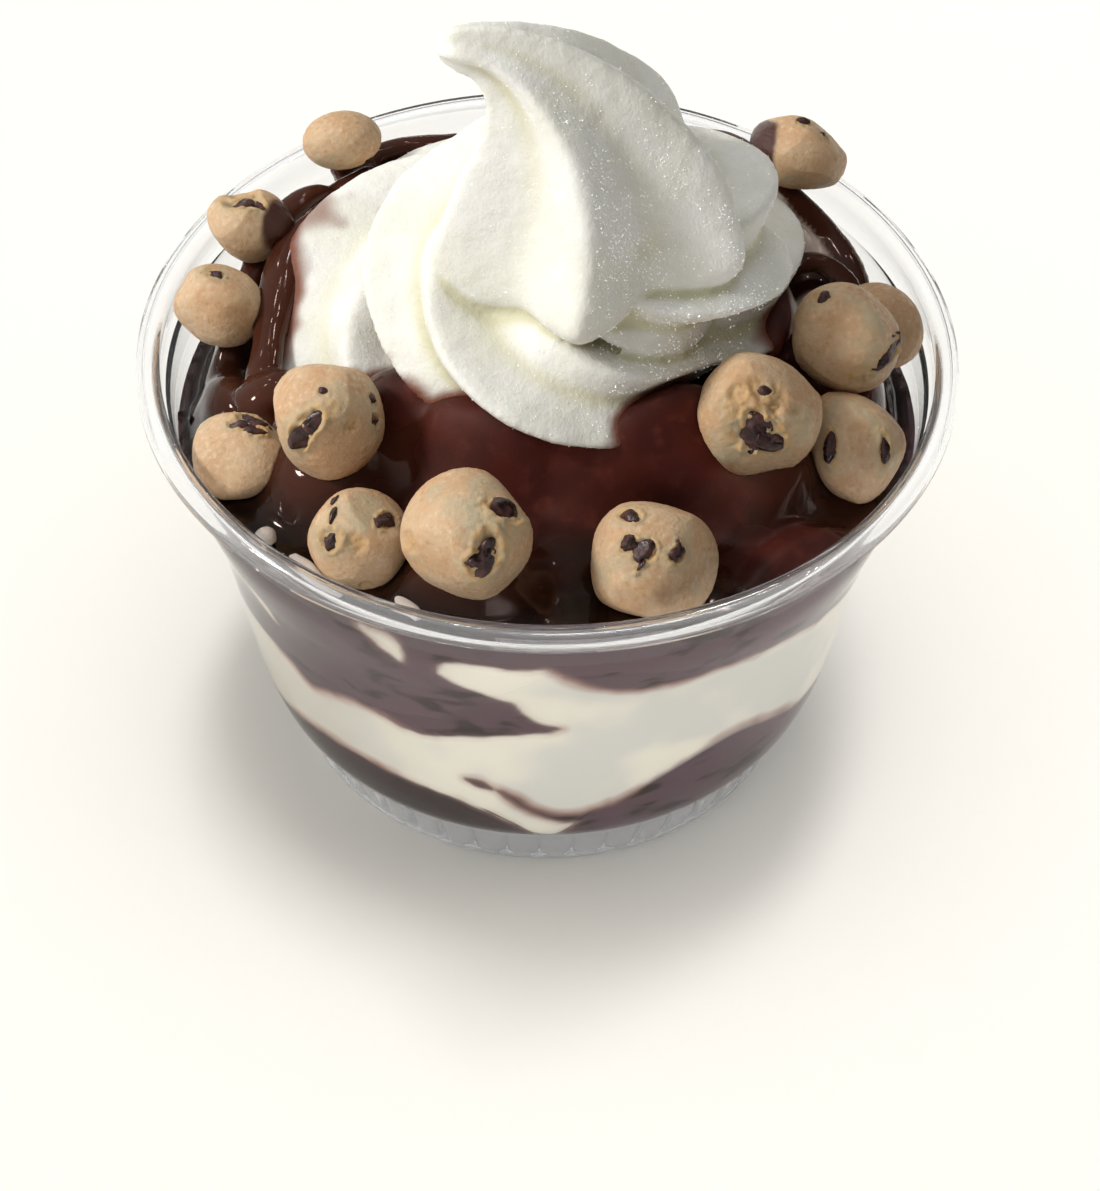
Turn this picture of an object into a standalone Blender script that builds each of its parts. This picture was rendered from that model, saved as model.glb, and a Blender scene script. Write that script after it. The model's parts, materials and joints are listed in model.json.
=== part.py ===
"""A soft-serve sundae in a clear plastic cup: layers of fudge and ice cream, a fluted swirl, balls of dough.

The cup stands on z = 0 with its axis on Z, and -Y is the front. All sizes are in metres and headings
in degrees, counter-clockwise from +X.
"""

import math

import bmesh
import bpy
from mathutils import Vector, noise

MM = 0.001
GAP = 0.3 * MM  # free room between pieces that touch
SWIRL_ROOM = 1.6 * GAP  # what the fudge is cut back from the swirl, whose flutes narrow the room
BALL_ROOM = 1.3 * GAP

# Cup
RIM_TOP = 57.0 * MM
RIM_RADIUS = 49.0 * MM
RIM_HEIGHT = 2.2 * MM
RIM_BEAD = 0.6 * MM
WALL = 0.7 * MM
LEDGE_RADIUS = 46.6 * MM  # a small step outwards under the rim, on which cups nest
WALL_TOP = 52.5 * MM
FOOT_HEIGHT = 6.3 * MM
FOOT_RADIUS_TOP = 32.3 * MM
FOOT_RADIUS_BOTTOM = 30.5 * MM
FLOOR_TOP = 7.0 * MM
# The wall's outside, as (height, radius): a rounded lower corner, a nearly straight flank, a flared shoulder
WALL_OUTSIDE = [
    (FLOOR_TOP, 33.2 * MM),
    (9.0 * MM, 34.4 * MM),
    (14.0 * MM, 36.2 * MM),
    (28.0 * MM, 39.1 * MM),
    (38.0 * MM, 41.6 * MM),
    (46.0 * MM, 44.5 * MM),
    (WALL_TOP, 45.8 * MM),
]
CUP_STEPS = 36

# Layers in the cup
LAYER_STEPS = 36
LAYER_RINGS = 3
LAYER_SIDES = 4
FUDGE_RINGS = 9
WALL_REACH = 42.0 * MM  # distance from the axis at which a surface has its height at the wall
# Where a layer's top meets the wall: its usual height, then swells as (heading, width in degrees, rise)
FUDGE_FLOOR_TOP = (
    15.0 * MM,
    [(232, 30, 2.5 * MM), (268, 11, -6.0 * MM), (306, 20, 8.0 * MM), (90, 40, 4.0 * MM)],
)
ICE_CREAM_TOP = (
    31.0 * MM,
    [(205, 18, -5.0 * MM), (266, 9, 14.0 * MM), (300, 26, 9.5 * MM), (60, 45, 5.0 * MM)],
)
FUDGE_TOP = (
    48.5 * MM,
    [(262, 50, 2.5 * MM), (8, 28, -2.0 * MM), (60, 45, -2.0 * MM), (140, 30, -2.5 * MM), (200, 20, 1.5 * MM)],
)
FUDGE_FLOOR_MIDDLE = 15.0 * MM
ICE_CREAM_MIDDLE = 36.0 * MM

# The top fudge climbs the front of the bottom coil, and lies in lumps of (x, y, radius, rise).
COIL_AXIS = Vector((1.0, 2.5)) * MM
MOUND_TOP = 63.0 * MM
MOUND_RADII = (23.0 * MM, 34.0 * MM)
MOUND_HEADING = 265.0
MOUND_SPREAD = (45.0, 80.0)  # degrees from that heading over which the mound runs out
COIL_BED = 4.0 * MM  # how far the fudge rises to the coil elsewhere
FUDGE_LUMPS = [
    (-35.0 * MM, -4.0 * MM, 8.5 * MM, 7.5 * MM),
    (-30.5 * MM, 6.0 * MM, 5.0 * MM, 5.0 * MM),
    (34.0 * MM, 14.0 * MM, 7.0 * MM, 8.0 * MM),
    (25.0 * MM, 28.0 * MM, 8.0 * MM, 8.0 * MM),
    (2.0 * MM, -37.5 * MM, 5.5 * MM, 2.0 * MM),
]

# The rope of soft serve winds up clockwise. By degrees wound: distance from its axis, height, half its
# width, axis x and y.
ROPE_START = 225.0  # heading of its low end
ROPE = [
    (0, 20.0 * MM, 51.0 * MM, 9.0 * MM, 1.0 * MM, 3.0 * MM),
    (45, 22.5 * MM, 55.0 * MM, 12.0 * MM, 1.0 * MM, 3.0 * MM),
    (120, 22.5 * MM, 57.0 * MM, 12.5 * MM, 1.0 * MM, 3.0 * MM),
    (190, 22.0 * MM, 58.0 * MM, 12.5 * MM, 1.5 * MM, 3.0 * MM),
    (225, 17.0 * MM, 60.0 * MM, 10.5 * MM, 2.5 * MM, 2.0 * MM),
    (262, 10.5 * MM, 64.0 * MM, 9.5 * MM, 3.5 * MM, 1.0 * MM),
    (310, 12.3 * MM, 65.2 * MM, 12.2 * MM, 3.5 * MM, 0.3 * MM),
    (360, 13.0 * MM, 66.8 * MM, 12.5 * MM, 3.5 * MM, 0.5 * MM),
    (405, 13.0 * MM, 69.5 * MM, 12.6 * MM, 3.5 * MM, 1.0 * MM),
    (495, 13.0 * MM, 73.0 * MM, 12.6 * MM, 3.5 * MM, 1.0 * MM),
    (585, 12.8 * MM, 72.5 * MM, 12.8 * MM, 3.7 * MM, 1.0 * MM),
    (640, 8.5 * MM, 71.5 * MM, 10.5 * MM, 4.0 * MM, 0.5 * MM),
    (700, 3.0 * MM, 73.0 * MM, 6.0 * MM, 4.0 * MM, 0.5 * MM),
]
ROPE_SQUASH = 0.64  # height for width of the laid rope
# The dollop that closes the swirl, from its skirt to its curled tip: middle x, y, z and radius, and the
# way that its section faces.
DOLLOP = [
    (6.0 * MM, -2.5 * MM, 65.0 * MM, 10.0 * MM, (-0.20, 0.25, 1.0)),
    (5.6 * MM, -1.8 * MM, 68.5 * MM, 15.0 * MM, (-0.20, 0.25, 1.0)),
    (5.0 * MM, -1.0 * MM, 72.0 * MM, 17.8 * MM, (-0.18, 0.22, 1.0)),
    (4.5 * MM, 0.0 * MM, 75.5 * MM, 18.7 * MM, (-0.15, 0.15, 1.0)),
    (4.2 * MM, 1.0 * MM, 79.0 * MM, 18.4 * MM, (-0.12, 0.05, 1.0)),
    (4.0 * MM, 1.8 * MM, 83.0 * MM, 17.0 * MM, (-0.12, 0.0, 1.0)),
    (3.2 * MM, 2.3 * MM, 87.0 * MM, 14.8 * MM, (-0.15, 0.0, 1.0)),
    (1.6 * MM, 2.5 * MM, 91.0 * MM, 11.8 * MM, (-0.25, 0.0, 1.0)),
    (-0.8 * MM, 2.5 * MM, 94.6 * MM, 8.8 * MM, (-0.5, 0.0, 1.0)),
    (-3.8 * MM, 2.4 * MM, 97.6 * MM, 6.0 * MM, (-0.9, 0.0, 1.0)),
    (-7.4 * MM, 2.2 * MM, 99.6 * MM, 4.0 * MM, (-1.0, 0.0, 0.5)),
    (-11.0 * MM, 2.0 * MM, 100.2 * MM, 2.9 * MM, (-1.0, 0.0, 0.0)),
    (-13.0 * MM, 2.0 * MM, 99.9 * MM, 1.5 * MM, (-1.0, 0.0, -0.2)),
]
FLUTES = 5
ROPE_FLUTE_DEPTH = 0.26
ROPE_FLUTE_SOFTNESS = 0.32
CREST_HEADING = 270.0  # the nozzle keeps its bearing, so each crest keeps its side of the swirl
DOLLOP_FLUTE_DEPTH = 0.30
DOLLOP_FLUTE_SOFTNESS = 0.24
DOLLOP_TWIST = -900.0  # degrees for each metre up
UNTWISTED_ROW = 2  # the row of DOLLOP at which a crest has its own heading
SECTION_STEPS = 80
ROPE_STATIONS = 180
DOLLOP_STATIONS = 90
SWIRL_VOXEL = 0.9 * MM
SWIRL_FACES_KEPT = 0.048

# Balls of cookie dough: middle and radius, in millimetres
DOUGH_BALLS = {
    "rear_left": (-25.8, 32.8, 61.0, 5.4),
    "left_upper": (-36.4, 18.0, 59.2, 5.2),
    "left": (-39.4, 5.4, 57.5, 5.3),
    "left_lower": (-35.2, -15.3, 52.5, 6.2),
    "front_left_upper": (-25.1, -18.3, 61.4, 7.1),
    "front_left_lower": (-21.3, -30.5, 54.0, 6.5),
    "front_middle": (-8.6, -35.8, 60.0, 7.5),
    "front_right": (12.2, -35.0, 56.0, 7.5),
    "right_front": (24.1, -16.3, 62.0, 7.6),
    "right_upper": (35.1, -2.4, 61.5, 6.5),
    "right_ledge": (39.9, 6.3, 55.5, 4.9),
    "right_lower": (36.0, -13.3, 54.0, 6.3),
    "rear_right": (30.1, 31.0, 61.9, 5.5),
}
BALL_SEGMENTS = 12
BALL_RINGS = 7
BALL_UNEVENNESS = 0.05
# The fudge banks up under each ball, to this share of the radius below its middle and over these shares
# of the radius outwards.
BANK_DEPTH = 0.62
BANK_REACH = (0.6, 1.5)

# Colours: base colour and roughness
CLEAR_PLASTIC = ((0.90, 0.92, 0.95), 0.08)
FUDGE = ((0.055, 0.020, 0.012), 0.18)
SOFT_SERVE = ((0.88, 0.85, 0.74), 0.50)
DOUGH = ((0.72, 0.50, 0.29), 0.75)


def clear_scene():
    for obj in list(bpy.data.objects):
        bpy.data.objects.remove(obj)


def material(name, looks):
    colour, roughness = looks
    made = bpy.data.materials.new(name)
    made.use_nodes = True
    shader = made.node_tree.nodes["Principled BSDF"]
    shader.inputs["Base Color"].default_value = (*colour, 1.0)
    shader.inputs["Roughness"].default_value = roughness
    shader.inputs["Metallic"].default_value = 0.0
    return made


def node_from(bm, name, finish):
    """Turns a bmesh into a smooth-shaded object of the scene."""
    bmesh.ops.remove_doubles(bm, verts=bm.verts, dist=0.001 * MM)
    bmesh.ops.recalc_face_normals(bm, faces=bm.faces)
    mesh = bpy.data.meshes.new(name)
    bm.to_mesh(mesh)
    bm.free()
    mesh.shade_smooth()
    mesh.set_sharp_from_angle(angle=math.radians(40))
    obj = bpy.data.objects.new(name, mesh)
    obj.data.materials.append(finish)
    bpy.context.scene.collection.objects.link(obj)
    return obj


def skin(bm, rings):
    """Triangles between rings of vertices, split along each patch's shorter diagonal."""
    for low, high in zip(rings, rings[1:]):
        for i in range(len(low)):
            a, b, c, d = low[i], low[(i + 1) % len(low)], high[(i + 1) % len(low)], high[i]
            if (a.co - c.co).length > (b.co - d.co).length:
                a, b, c, d = b, c, d, a
            bm.faces.new((a, b, c))
            bm.faces.new((a, c, d))


def smooth_step(low, high, value):
    share = min(1.0, max(0.0, (value - low) / (high - low)))
    return share * share * (3 - 2 * share)


def through(rows, at):
    """The values of a smooth curve through rows of (place, values...) at one place."""
    i = max(k for k in range(len(rows) - 1) if k == 0 or rows[k][0] <= at)
    before, here, there, after = (rows[min(max(k, 0), len(rows) - 1)] for k in (i - 1, i, i + 1, i + 2))
    span = there[0] - here[0]
    t = (at - here[0]) / span
    values = []
    for p, a, b, n in zip(before[1:], here[1:], there[1:], after[1:]):
        slope_a = (b - p) / (there[0] - before[0]) * span
        slope_b = (n - a) / (after[0] - here[0]) * span
        values.append(
            a * (2 * t**3 - 3 * t**2 + 1) + slope_a * (t**3 - 2 * t**2 + t)
            + b * (3 * t**2 - 2 * t**3) + slope_b * (t**3 - t**2)
        )
    return values


def angle_apart(a, b):
    """Degrees between two headings, 0 to 180."""
    return abs((a - b + 180) % 360 - 180)


def heading_of(x, y):
    return math.degrees(math.atan2(y, x)) % 360


# ---------------------------------------------------------------- cup


def cup_inner_radius(z):
    """Read off the straight lines between the wall's named heights."""
    for (low, low_radius), (high, high_radius) in zip(WALL_OUTSIDE, WALL_OUTSIDE[1:]):
        if z < high:
            share = max(0.0, (z - low) / (high - low))
            return low_radius + (high_radius - low_radius) * share - WALL
    return WALL_OUTSIDE[-1][1] - WALL


def cup_profile():
    """Radius and height round the cup's section, from the middle under the floor to the middle of the floor."""
    rim_foot = RIM_TOP - RIM_HEIGHT
    foot = [
        (0.0, FOOT_HEIGHT),
        (FOOT_RADIUS_TOP - 2 * WALL, FOOT_HEIGHT),
        (FOOT_RADIUS_BOTTOM - 1.5 * WALL, 0.0),
        (FOOT_RADIUS_BOTTOM, 0.0),
        (FOOT_RADIUS_TOP, FOOT_HEIGHT),
    ]
    outside = [(radius, z) for z, radius in WALL_OUTSIDE]
    rim = [
        (LEDGE_RADIUS, WALL_TOP + WALL),
        (LEDGE_RADIUS, rim_foot),
        (RIM_RADIUS - RIM_BEAD, rim_foot),
        (RIM_RADIUS, rim_foot + RIM_BEAD),
        (RIM_RADIUS, RIM_TOP - RIM_BEAD),
        (RIM_RADIUS - RIM_BEAD, RIM_TOP),
        (LEDGE_RADIUS, RIM_TOP),
        (LEDGE_RADIUS - WALL, RIM_TOP - RIM_BEAD),
        (LEDGE_RADIUS - WALL, WALL_TOP + 1.5 * WALL),
    ]
    inside = [(radius - WALL, z) for z, radius in reversed(WALL_OUTSIDE)]
    return foot + outside + rim + inside + [(0.0, FLOOR_TOP)]


def make_cup():
    bm = bmesh.new()
    turn = [2 * math.pi * i / CUP_STEPS for i in range(CUP_STEPS)]
    skin(bm, [[bm.verts.new((r * math.cos(a), r * math.sin(a), z)) for a in turn] for r, z in cup_profile()])
    return node_from(bm, "cup", material("clear_plastic", CLEAR_PLASTIC))


# ---------------------------------------------------------------- layers


def wall_height(boundary, heading):
    usual, swells = boundary
    for at, width, rise in swells:
        usual += rise * math.exp(-((angle_apart(heading, at) / width) ** 2))
    return usual


def wavy_surface(boundary, middle):
    """A surface with a height of its own in the middle and the boundary's height at the wall."""

    def height(x, y):
        share = min(1.0, math.hypot(x, y) / WALL_REACH) ** 1.5
        return middle + (wall_height(boundary, heading_of(x, y)) - middle) * share

    return height


def fudge_surface(x, y):
    level = wall_height(FUDGE_TOP, heading_of(x, y))
    away = Vector((x, y)) - COIL_AXIS
    front = 1 - smooth_step(*MOUND_SPREAD, angle_apart(heading_of(*away), MOUND_HEADING))
    climb = 1 - smooth_step(*MOUND_RADII, away.length)
    z = level + climb * ((MOUND_TOP - level) * front + COIL_BED * (1 - front))
    for lump_x, lump_y, radius, rise in FUDGE_LUMPS:
        z += rise * max(0.0, 1 - (math.hypot(x - lump_x, y - lump_y) / radius) ** 2) ** 0.8
    for ball_x, ball_y, ball_z, radius in DOUGH_BALLS.values():
        away = math.hypot(x / MM - ball_x, y / MM - ball_y) / radius
        bank = (ball_z - BANK_DEPTH * radius) * MM
        z += max(0.0, bank - z) * (1 - smooth_step(*BANK_REACH, away))
    return z


def layer(name, low, high, finish, rings):
    """The food between two surfaces, out to a small gap from the cup's wall."""
    bm = bmesh.new()
    turns = [2 * math.pi * step / LAYER_STEPS for step in range(LAYER_STEPS)]
    aims = [Vector((math.cos(turn), math.sin(turn))) for turn in turns]
    low_edges, high_edges = ([surface(*(aim * LEDGE_RADIUS)) for aim in aims] for surface in (low, high))

    def across(surface, edges, offset, share):
        ring = []
        for aim, edge in zip(aims, edges):
            at = aim * share * (cup_inner_radius(edge) - GAP)
            ring.append(bm.verts.new((*at, surface(*at) + offset)))
        return ring

    def at_wall(share):
        ring = []
        for aim, low_edge, high_edge in zip(aims, low_edges, high_edges):
            z = low_edge + GAP + (high_edge - low_edge - GAP) * share
            ring.append(bm.verts.new((*(aim * (cup_inner_radius(z) - GAP)), z)))
        return ring

    bottom = [across(low, low_edges, GAP, i / LAYER_RINGS) for i in range(LAYER_RINGS)]
    side = [at_wall(i / LAYER_SIDES) for i in range(LAYER_SIDES + 1)]
    top = [across(high, high_edges, 0.0, i / rings) for i in range(rings - 1, -1, -1)]
    skin(bm, bottom + side + top)
    return node_from(bm, name, finish)


# ---------------------------------------------------------------- swirl


def flute(angle, depth, softness):
    """Share of the full radius at an angle from a crest: rounded crests with hollow valleys between."""
    return 1 - depth * (math.hypot(math.sin(angle * FLUTES / 2), softness) - softness)


def fluted_tube(sections, depth, softness):
    """A closed tube through sections of (middle, side, up, radius, crest), as a bmesh."""
    bm = bmesh.new()
    rings = []
    for middle, side, up, radius, crest in sections:
        row = []
        for step in range(SECTION_STEPS):
            angle = 2 * math.pi * step / SECTION_STEPS
            reach = radius * flute(angle - crest, depth, softness)
            row.append(bm.verts.new(middle + (side * math.cos(angle) + up * math.sin(angle)) * reach))
        rings.append(row)
    skin(bm, rings)
    bm.faces.new(rings[0])
    bm.faces.new(rings[-1])
    bmesh.ops.recalc_face_normals(bm, faces=bm.faces)
    return bm


def rope_sections():
    up = Vector((0, 0, ROPE_SQUASH))
    for i in range(ROPE_STATIONS + 1):
        wound = ROPE[-1][0] * i / ROPE_STATIONS
        distance, z, radius, axis_x, axis_y = through(ROPE, wound)
        heading = math.radians(ROPE_START - wound)
        out = Vector((math.cos(heading), math.sin(heading), 0))
        middle = Vector((axis_x, axis_y, z)) + out * distance
        yield middle, out, up, radius, math.radians(CREST_HEADING) - heading


def dollop_sections():
    lengths = [0.0]
    for a, b in zip(DOLLOP, DOLLOP[1:]):
        lengths.append(lengths[-1] + math.dist(a[:3], b[:3]))
    rows = [(length, *row[:4], *row[4]) for length, row in zip(lengths, DOLLOP)]
    for i in range(DOLLOP_STATIONS + 1):
        at = lengths[-1] * i / DOLLOP_STATIONS
        x, y, z, radius, *aim = through(rows, at)
        lean = Vector((0, 0, 1)).rotation_difference(Vector(aim))
        crest = math.radians(CREST_HEADING + DOLLOP_TWIST * (at - lengths[UNTWISTED_ROW]))
        yield Vector((x, y, z)), lean @ Vector((1, 0, 0)), lean @ Vector((0, 1, 0)), radius, crest


def make_swirl():
    """The rope and the dollop run together into one body, thinned to a few thousand faces."""
    rope = fluted_tube(rope_sections(), ROPE_FLUTE_DEPTH, ROPE_FLUTE_SOFTNESS)
    dollop = fluted_tube(dollop_sections(), DOLLOP_FLUTE_DEPTH, DOLLOP_FLUTE_SOFTNESS)
    both = bpy.data.meshes.new("dollop")
    dollop.to_mesh(both)
    dollop.free()
    rope.from_mesh(both)
    bpy.data.meshes.remove(both)
    swirl = node_from(rope, "ice_cream_swirl", material("soft_serve", SOFT_SERVE))
    remesh = swirl.modifiers.new("one_body", "REMESH")
    remesh.mode = "VOXEL"
    remesh.voxel_size = SWIRL_VOXEL
    thin = swirl.modifiers.new("fewer_faces", "DECIMATE")
    thin.ratio = SWIRL_FACES_KEPT
    return swirl


# ---------------------------------------------------------------- dough


def make_ball(name, x, y, z, radius, finish, swell=0.0):
    """An uneven ball, as rolled by hand. A swollen one is a cutter for the food round it."""
    bm = bmesh.new()
    bmesh.ops.create_uvsphere(bm, u_segments=BALL_SEGMENTS, v_segments=BALL_RINGS, radius=1.0)
    middle = Vector((x, y, z)) * MM
    for vert in bm.verts:
        uneven = 1 + BALL_UNEVENNESS * (noise.noise(vert.co * 1.5 + Vector((x, y, z))) - 0.5)
        vert.co = middle + vert.co * (radius * MM * uneven + swell)
    return node_from(bm, name, finish)


def cut(target, cutter):
    """Takes the cutter's space out of the target, and leaves the cutter as a hidden guide."""
    cutter.hide_render = True
    cutter.display_type = "WIRE"
    boolean = target.modifiers.new(cutter.name, "BOOLEAN")
    boolean.operation = "DIFFERENCE"
    boolean.object = cutter


def swirl_cutter(swirl):
    """The swirl's own faces moved out by a little more than the gap."""
    cutter = swirl.copy()
    cutter.name = "swirl_cutter"
    bpy.context.scene.collection.objects.link(cutter)
    swell = cutter.modifiers.new("swell", "DISPLACE")
    swell.strength = SWIRL_ROOM
    swell.mid_level = 0.0
    return cutter


def main():
    clear_scene()
    make_cup()
    fudge, soft_serve, dough = (
        material("fudge", FUDGE),
        material("soft_serve_layer", SOFT_SERVE),
        material("dough", DOUGH),
    )
    floor = wavy_surface((FLOOR_TOP, []), FLOOR_TOP)
    low = wavy_surface(FUDGE_FLOOR_TOP, FUDGE_FLOOR_MIDDLE)
    middle = wavy_surface(ICE_CREAM_TOP, ICE_CREAM_MIDDLE)
    layer("fudge_bottom", floor, low, fudge, LAYER_RINGS)
    layer("ice_cream_middle", low, middle, soft_serve, LAYER_RINGS)
    top = layer("fudge_top", middle, fudge_surface, fudge, FUDGE_RINGS)
    cut(top, swirl_cutter(make_swirl()))
    for name, (x, y, z, radius) in DOUGH_BALLS.items():
        make_ball(f"dough_ball_{name}", x, y, z, radius, dough)
        cut(top, make_ball(f"room_for_{name}", x, y, z, radius, dough, BALL_ROOM))


main()
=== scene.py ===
# %% [markdown]
# # An ice cream sundae, dressed
# This lesson takes a sundae whose solid parts are already made, and gives each one its real surface: thin
# clear plastic, glossy fudge, soft serve with ice in it and crumbly balls of cookie dough. The solids load
# as a frame that stays fixed. Every new piece takes its place from them and stands for one of them.
# All sizes are in metres, +Z is up and -Y is the front. Headings are in degrees, counter-clockwise from +X.

import json
import math

import bpy
import numpy as np
from mathutils import Matrix, Vector, noise
from mathutils.bvhtree import BVHTree

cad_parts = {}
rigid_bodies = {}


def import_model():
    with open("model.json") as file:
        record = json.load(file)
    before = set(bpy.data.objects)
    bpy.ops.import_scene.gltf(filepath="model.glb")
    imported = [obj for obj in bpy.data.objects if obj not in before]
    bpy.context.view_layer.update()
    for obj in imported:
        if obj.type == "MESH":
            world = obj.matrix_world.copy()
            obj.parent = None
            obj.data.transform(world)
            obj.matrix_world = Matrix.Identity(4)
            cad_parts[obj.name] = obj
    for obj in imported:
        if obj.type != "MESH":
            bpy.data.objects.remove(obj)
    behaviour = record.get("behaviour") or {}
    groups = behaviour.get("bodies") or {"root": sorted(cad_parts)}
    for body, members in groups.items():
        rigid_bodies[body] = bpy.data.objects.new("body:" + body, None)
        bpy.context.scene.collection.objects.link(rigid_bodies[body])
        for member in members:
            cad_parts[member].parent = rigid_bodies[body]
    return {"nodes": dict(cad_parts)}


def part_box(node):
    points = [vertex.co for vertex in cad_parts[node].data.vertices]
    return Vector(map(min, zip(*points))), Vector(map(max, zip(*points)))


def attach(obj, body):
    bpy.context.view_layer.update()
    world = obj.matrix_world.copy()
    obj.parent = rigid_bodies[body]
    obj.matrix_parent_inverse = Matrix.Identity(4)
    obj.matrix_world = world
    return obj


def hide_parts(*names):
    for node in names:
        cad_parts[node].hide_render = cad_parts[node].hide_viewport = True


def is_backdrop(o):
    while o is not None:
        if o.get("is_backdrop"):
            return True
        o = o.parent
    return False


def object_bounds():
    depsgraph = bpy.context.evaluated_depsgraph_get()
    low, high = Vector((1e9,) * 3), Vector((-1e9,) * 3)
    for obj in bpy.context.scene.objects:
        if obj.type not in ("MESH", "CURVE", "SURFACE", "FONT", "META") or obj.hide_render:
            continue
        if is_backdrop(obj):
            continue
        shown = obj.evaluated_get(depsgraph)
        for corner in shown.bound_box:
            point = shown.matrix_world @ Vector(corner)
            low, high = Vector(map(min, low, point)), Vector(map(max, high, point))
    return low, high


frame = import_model()
solid_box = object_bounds()
MM = 0.001
print("nodes:", len(frame["nodes"]))

# %% [markdown]
# ## The camera
# A sundae is looked at from above, at an angle at which the swirl stands free and the side of the cup still
# shows its layers. A long lens from well back keeps the round rim from being stretched. The camera leans by
# one degree, as a camera in the hand does.

# %% Camera
CAMERA_DISTANCE = 0.600
CAMERA_LOOKS_DOWN = math.radians(44.8)
CAMERA_TARGET = Vector((0.00077, 0.0, 0.0153))
CAMERA_LEAN = math.radians(1.0)
camera = bpy.data.objects.new("camera", bpy.data.cameras.new("camera"))
bpy.context.scene.collection.objects.link(camera)
looking = Vector((0, math.cos(CAMERA_LOOKS_DOWN), -math.sin(CAMERA_LOOKS_DOWN)))
turned = looking.to_track_quat("-Z", "Y").to_matrix().to_4x4() @ Matrix.Rotation(CAMERA_LEAN, 4, "Z")
camera.matrix_world = Matrix.Translation(CAMERA_TARGET - looking * CAMERA_DISTANCE) @ turned
camera.data.sensor_fit = "VERTICAL"
camera.data.sensor_height = 36.0
camera.data.lens = 145.0
bpy.context.scene.camera = camera
print("camera", CAMERA_DISTANCE, "m from the sundae")

# %% [markdown]
# ## Floor and light
# The studio is a wide cream floor under a sky that is bright on the left and dim on the right. The key is a
# small lamp half-way up on the left: it whitens that side of the swirl and leaves its right faces in a cool
# shade. Every other lamp has one task. Two above light the floor and the clear cup, one in front fills the
# sides of the cup and the fudge, and seven tiny ones behind are there only for what they look like in wet
# fudge: short, hard glints.

# %% Light
SKY_BRIGHT = (1.0, 0.985, 0.955)
SKY_SHADE = (0.95, 0.95, 0.93)
SKY_FROM = (-0.90, -0.05, 0.42)  # the way to the bright side of the sky
SKY_SWEEP = (-0.45, 0.95)  # how squarely a way faces that side where the sweep starts and ends
SKY_STRENGTH = (0.08, 0.84)
LAMPS_AIM_AT = Vector((0, 0, 50 * MM))


def lamp(name, heading, height, distance, size, power, colour=(1, 1, 1), depth=None):
    """A lamp that faces the sundae from a heading and an angle above the floor, in degrees."""
    turn, rise = math.radians(heading), math.radians(height)
    place = Vector((math.cos(turn) * math.cos(rise), math.sin(turn) * math.cos(rise), math.sin(rise)))
    data = bpy.data.lights.new(name, "AREA")
    data.shape = "RECTANGLE"
    data.energy, data.size, data.size_y, data.color = power, size, depth or size, colour
    made = bpy.data.objects.new(name, data)
    bpy.context.scene.collection.objects.link(made)
    made.location = place * distance + LAMPS_AIM_AT
    made.rotation_euler = (-place).to_track_quat("-Z", "Y").to_euler()
    return made


def make_sky(shade, bright):
    """A sky that goes smoothly from its shaded side to its bright side."""
    world = bpy.data.worlds.new("sky")
    bpy.context.scene.world = world
    world.use_nodes = True
    nodes, links = world.node_tree.nodes, world.node_tree.links
    way = nodes.new("ShaderNodeTexCoord")
    facing = nodes.new("ShaderNodeVectorMath")
    facing.operation = "DOT_PRODUCT"
    facing.inputs[1].default_value = Vector(SKY_FROM).normalized()
    links.new(way.outputs["Generated"], facing.inputs[0])
    from_low, from_high = SKY_SWEEP
    for socket, low, high in (("Strength", shade, bright), ("Color", SKY_SHADE, SKY_BRIGHT)):
        sweep = nodes.new("ShaderNodeMapRange")
        sweep.interpolation_type = "SMOOTHSTEP"
        links.new(facing.outputs["Value"], sweep.inputs["Value"])
        sweep.inputs["From Min"].default_value = from_low
        sweep.inputs["From Max"].default_value = from_high
        if socket == "Strength":
            sweep.inputs["To Min"].default_value = low
            sweep.inputs["To Max"].default_value = high
            links.new(sweep.outputs["Result"], nodes["Background"].inputs[socket])
        else:
            mix = nodes.new("ShaderNodeMix")
            mix.data_type = "RGBA"
            mix.inputs[6].default_value = (*low, 1)
            mix.inputs[7].default_value = (*high, 1)
            links.new(sweep.outputs["Result"], mix.inputs[0])
            links.new(mix.outputs[2], nodes["Background"].inputs[socket])


make_sky(*SKY_STRENGTH)
bpy.context.scene.view_settings.view_transform = "Standard"
key = lamp("key", 188, 42, 0.8, 0.12, 4.2, (1.0, 0.985, 0.95))
overhead = lamp("overhead", 64, 77, 1.5, 0.30, 7.6, depth=0.75)
wash = lamp("wash", 20, 68, 1.8, 2.6, 24.4)
fill = lamp("fill", 280, 6, 1.2, 0.9, 10.0)
fill.visible_glossy = False  # its square shape would show in the fudge
GLINTS_FROM = ((130, 56), (114, 44), (98, 62), (84, 48), (70, 58), (56, 44), (44, 60))
glints = [lamp(f"glint_{turn}", turn, rise, 0.9, 0.03, 0.14) for turn, rise in GLINTS_FROM]

# %% [markdown]
# ## Small helpers
# Blender's operators act on whatever is selected, and the frame arrives selected. So each step first selects
# just the piece that it works on. A helper also makes nodes, because every finish here is a small tree.

# %% Helpers
def select_only(*pieces):
    bpy.ops.object.select_all(action="DESELECT")
    for piece in pieces:
        piece.select_set(True)
    bpy.context.view_layer.objects.active = pieces[0]


def apply_all(piece):
    select_only(piece)
    for modifier in list(piece.modifiers):
        bpy.ops.object.modifier_apply(modifier=modifier.name)


def smooth_by_angle(piece, degrees=180):
    select_only(piece)
    bpy.ops.object.shade_smooth_by_angle(angle=math.radians(degrees))


def degrees_apart(a, b):
    return np.abs((a - b + 180) % 360 - 180)


def cos_sin(degrees):
    return math.cos(math.radians(degrees)), math.sin(math.radians(degrees))


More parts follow.
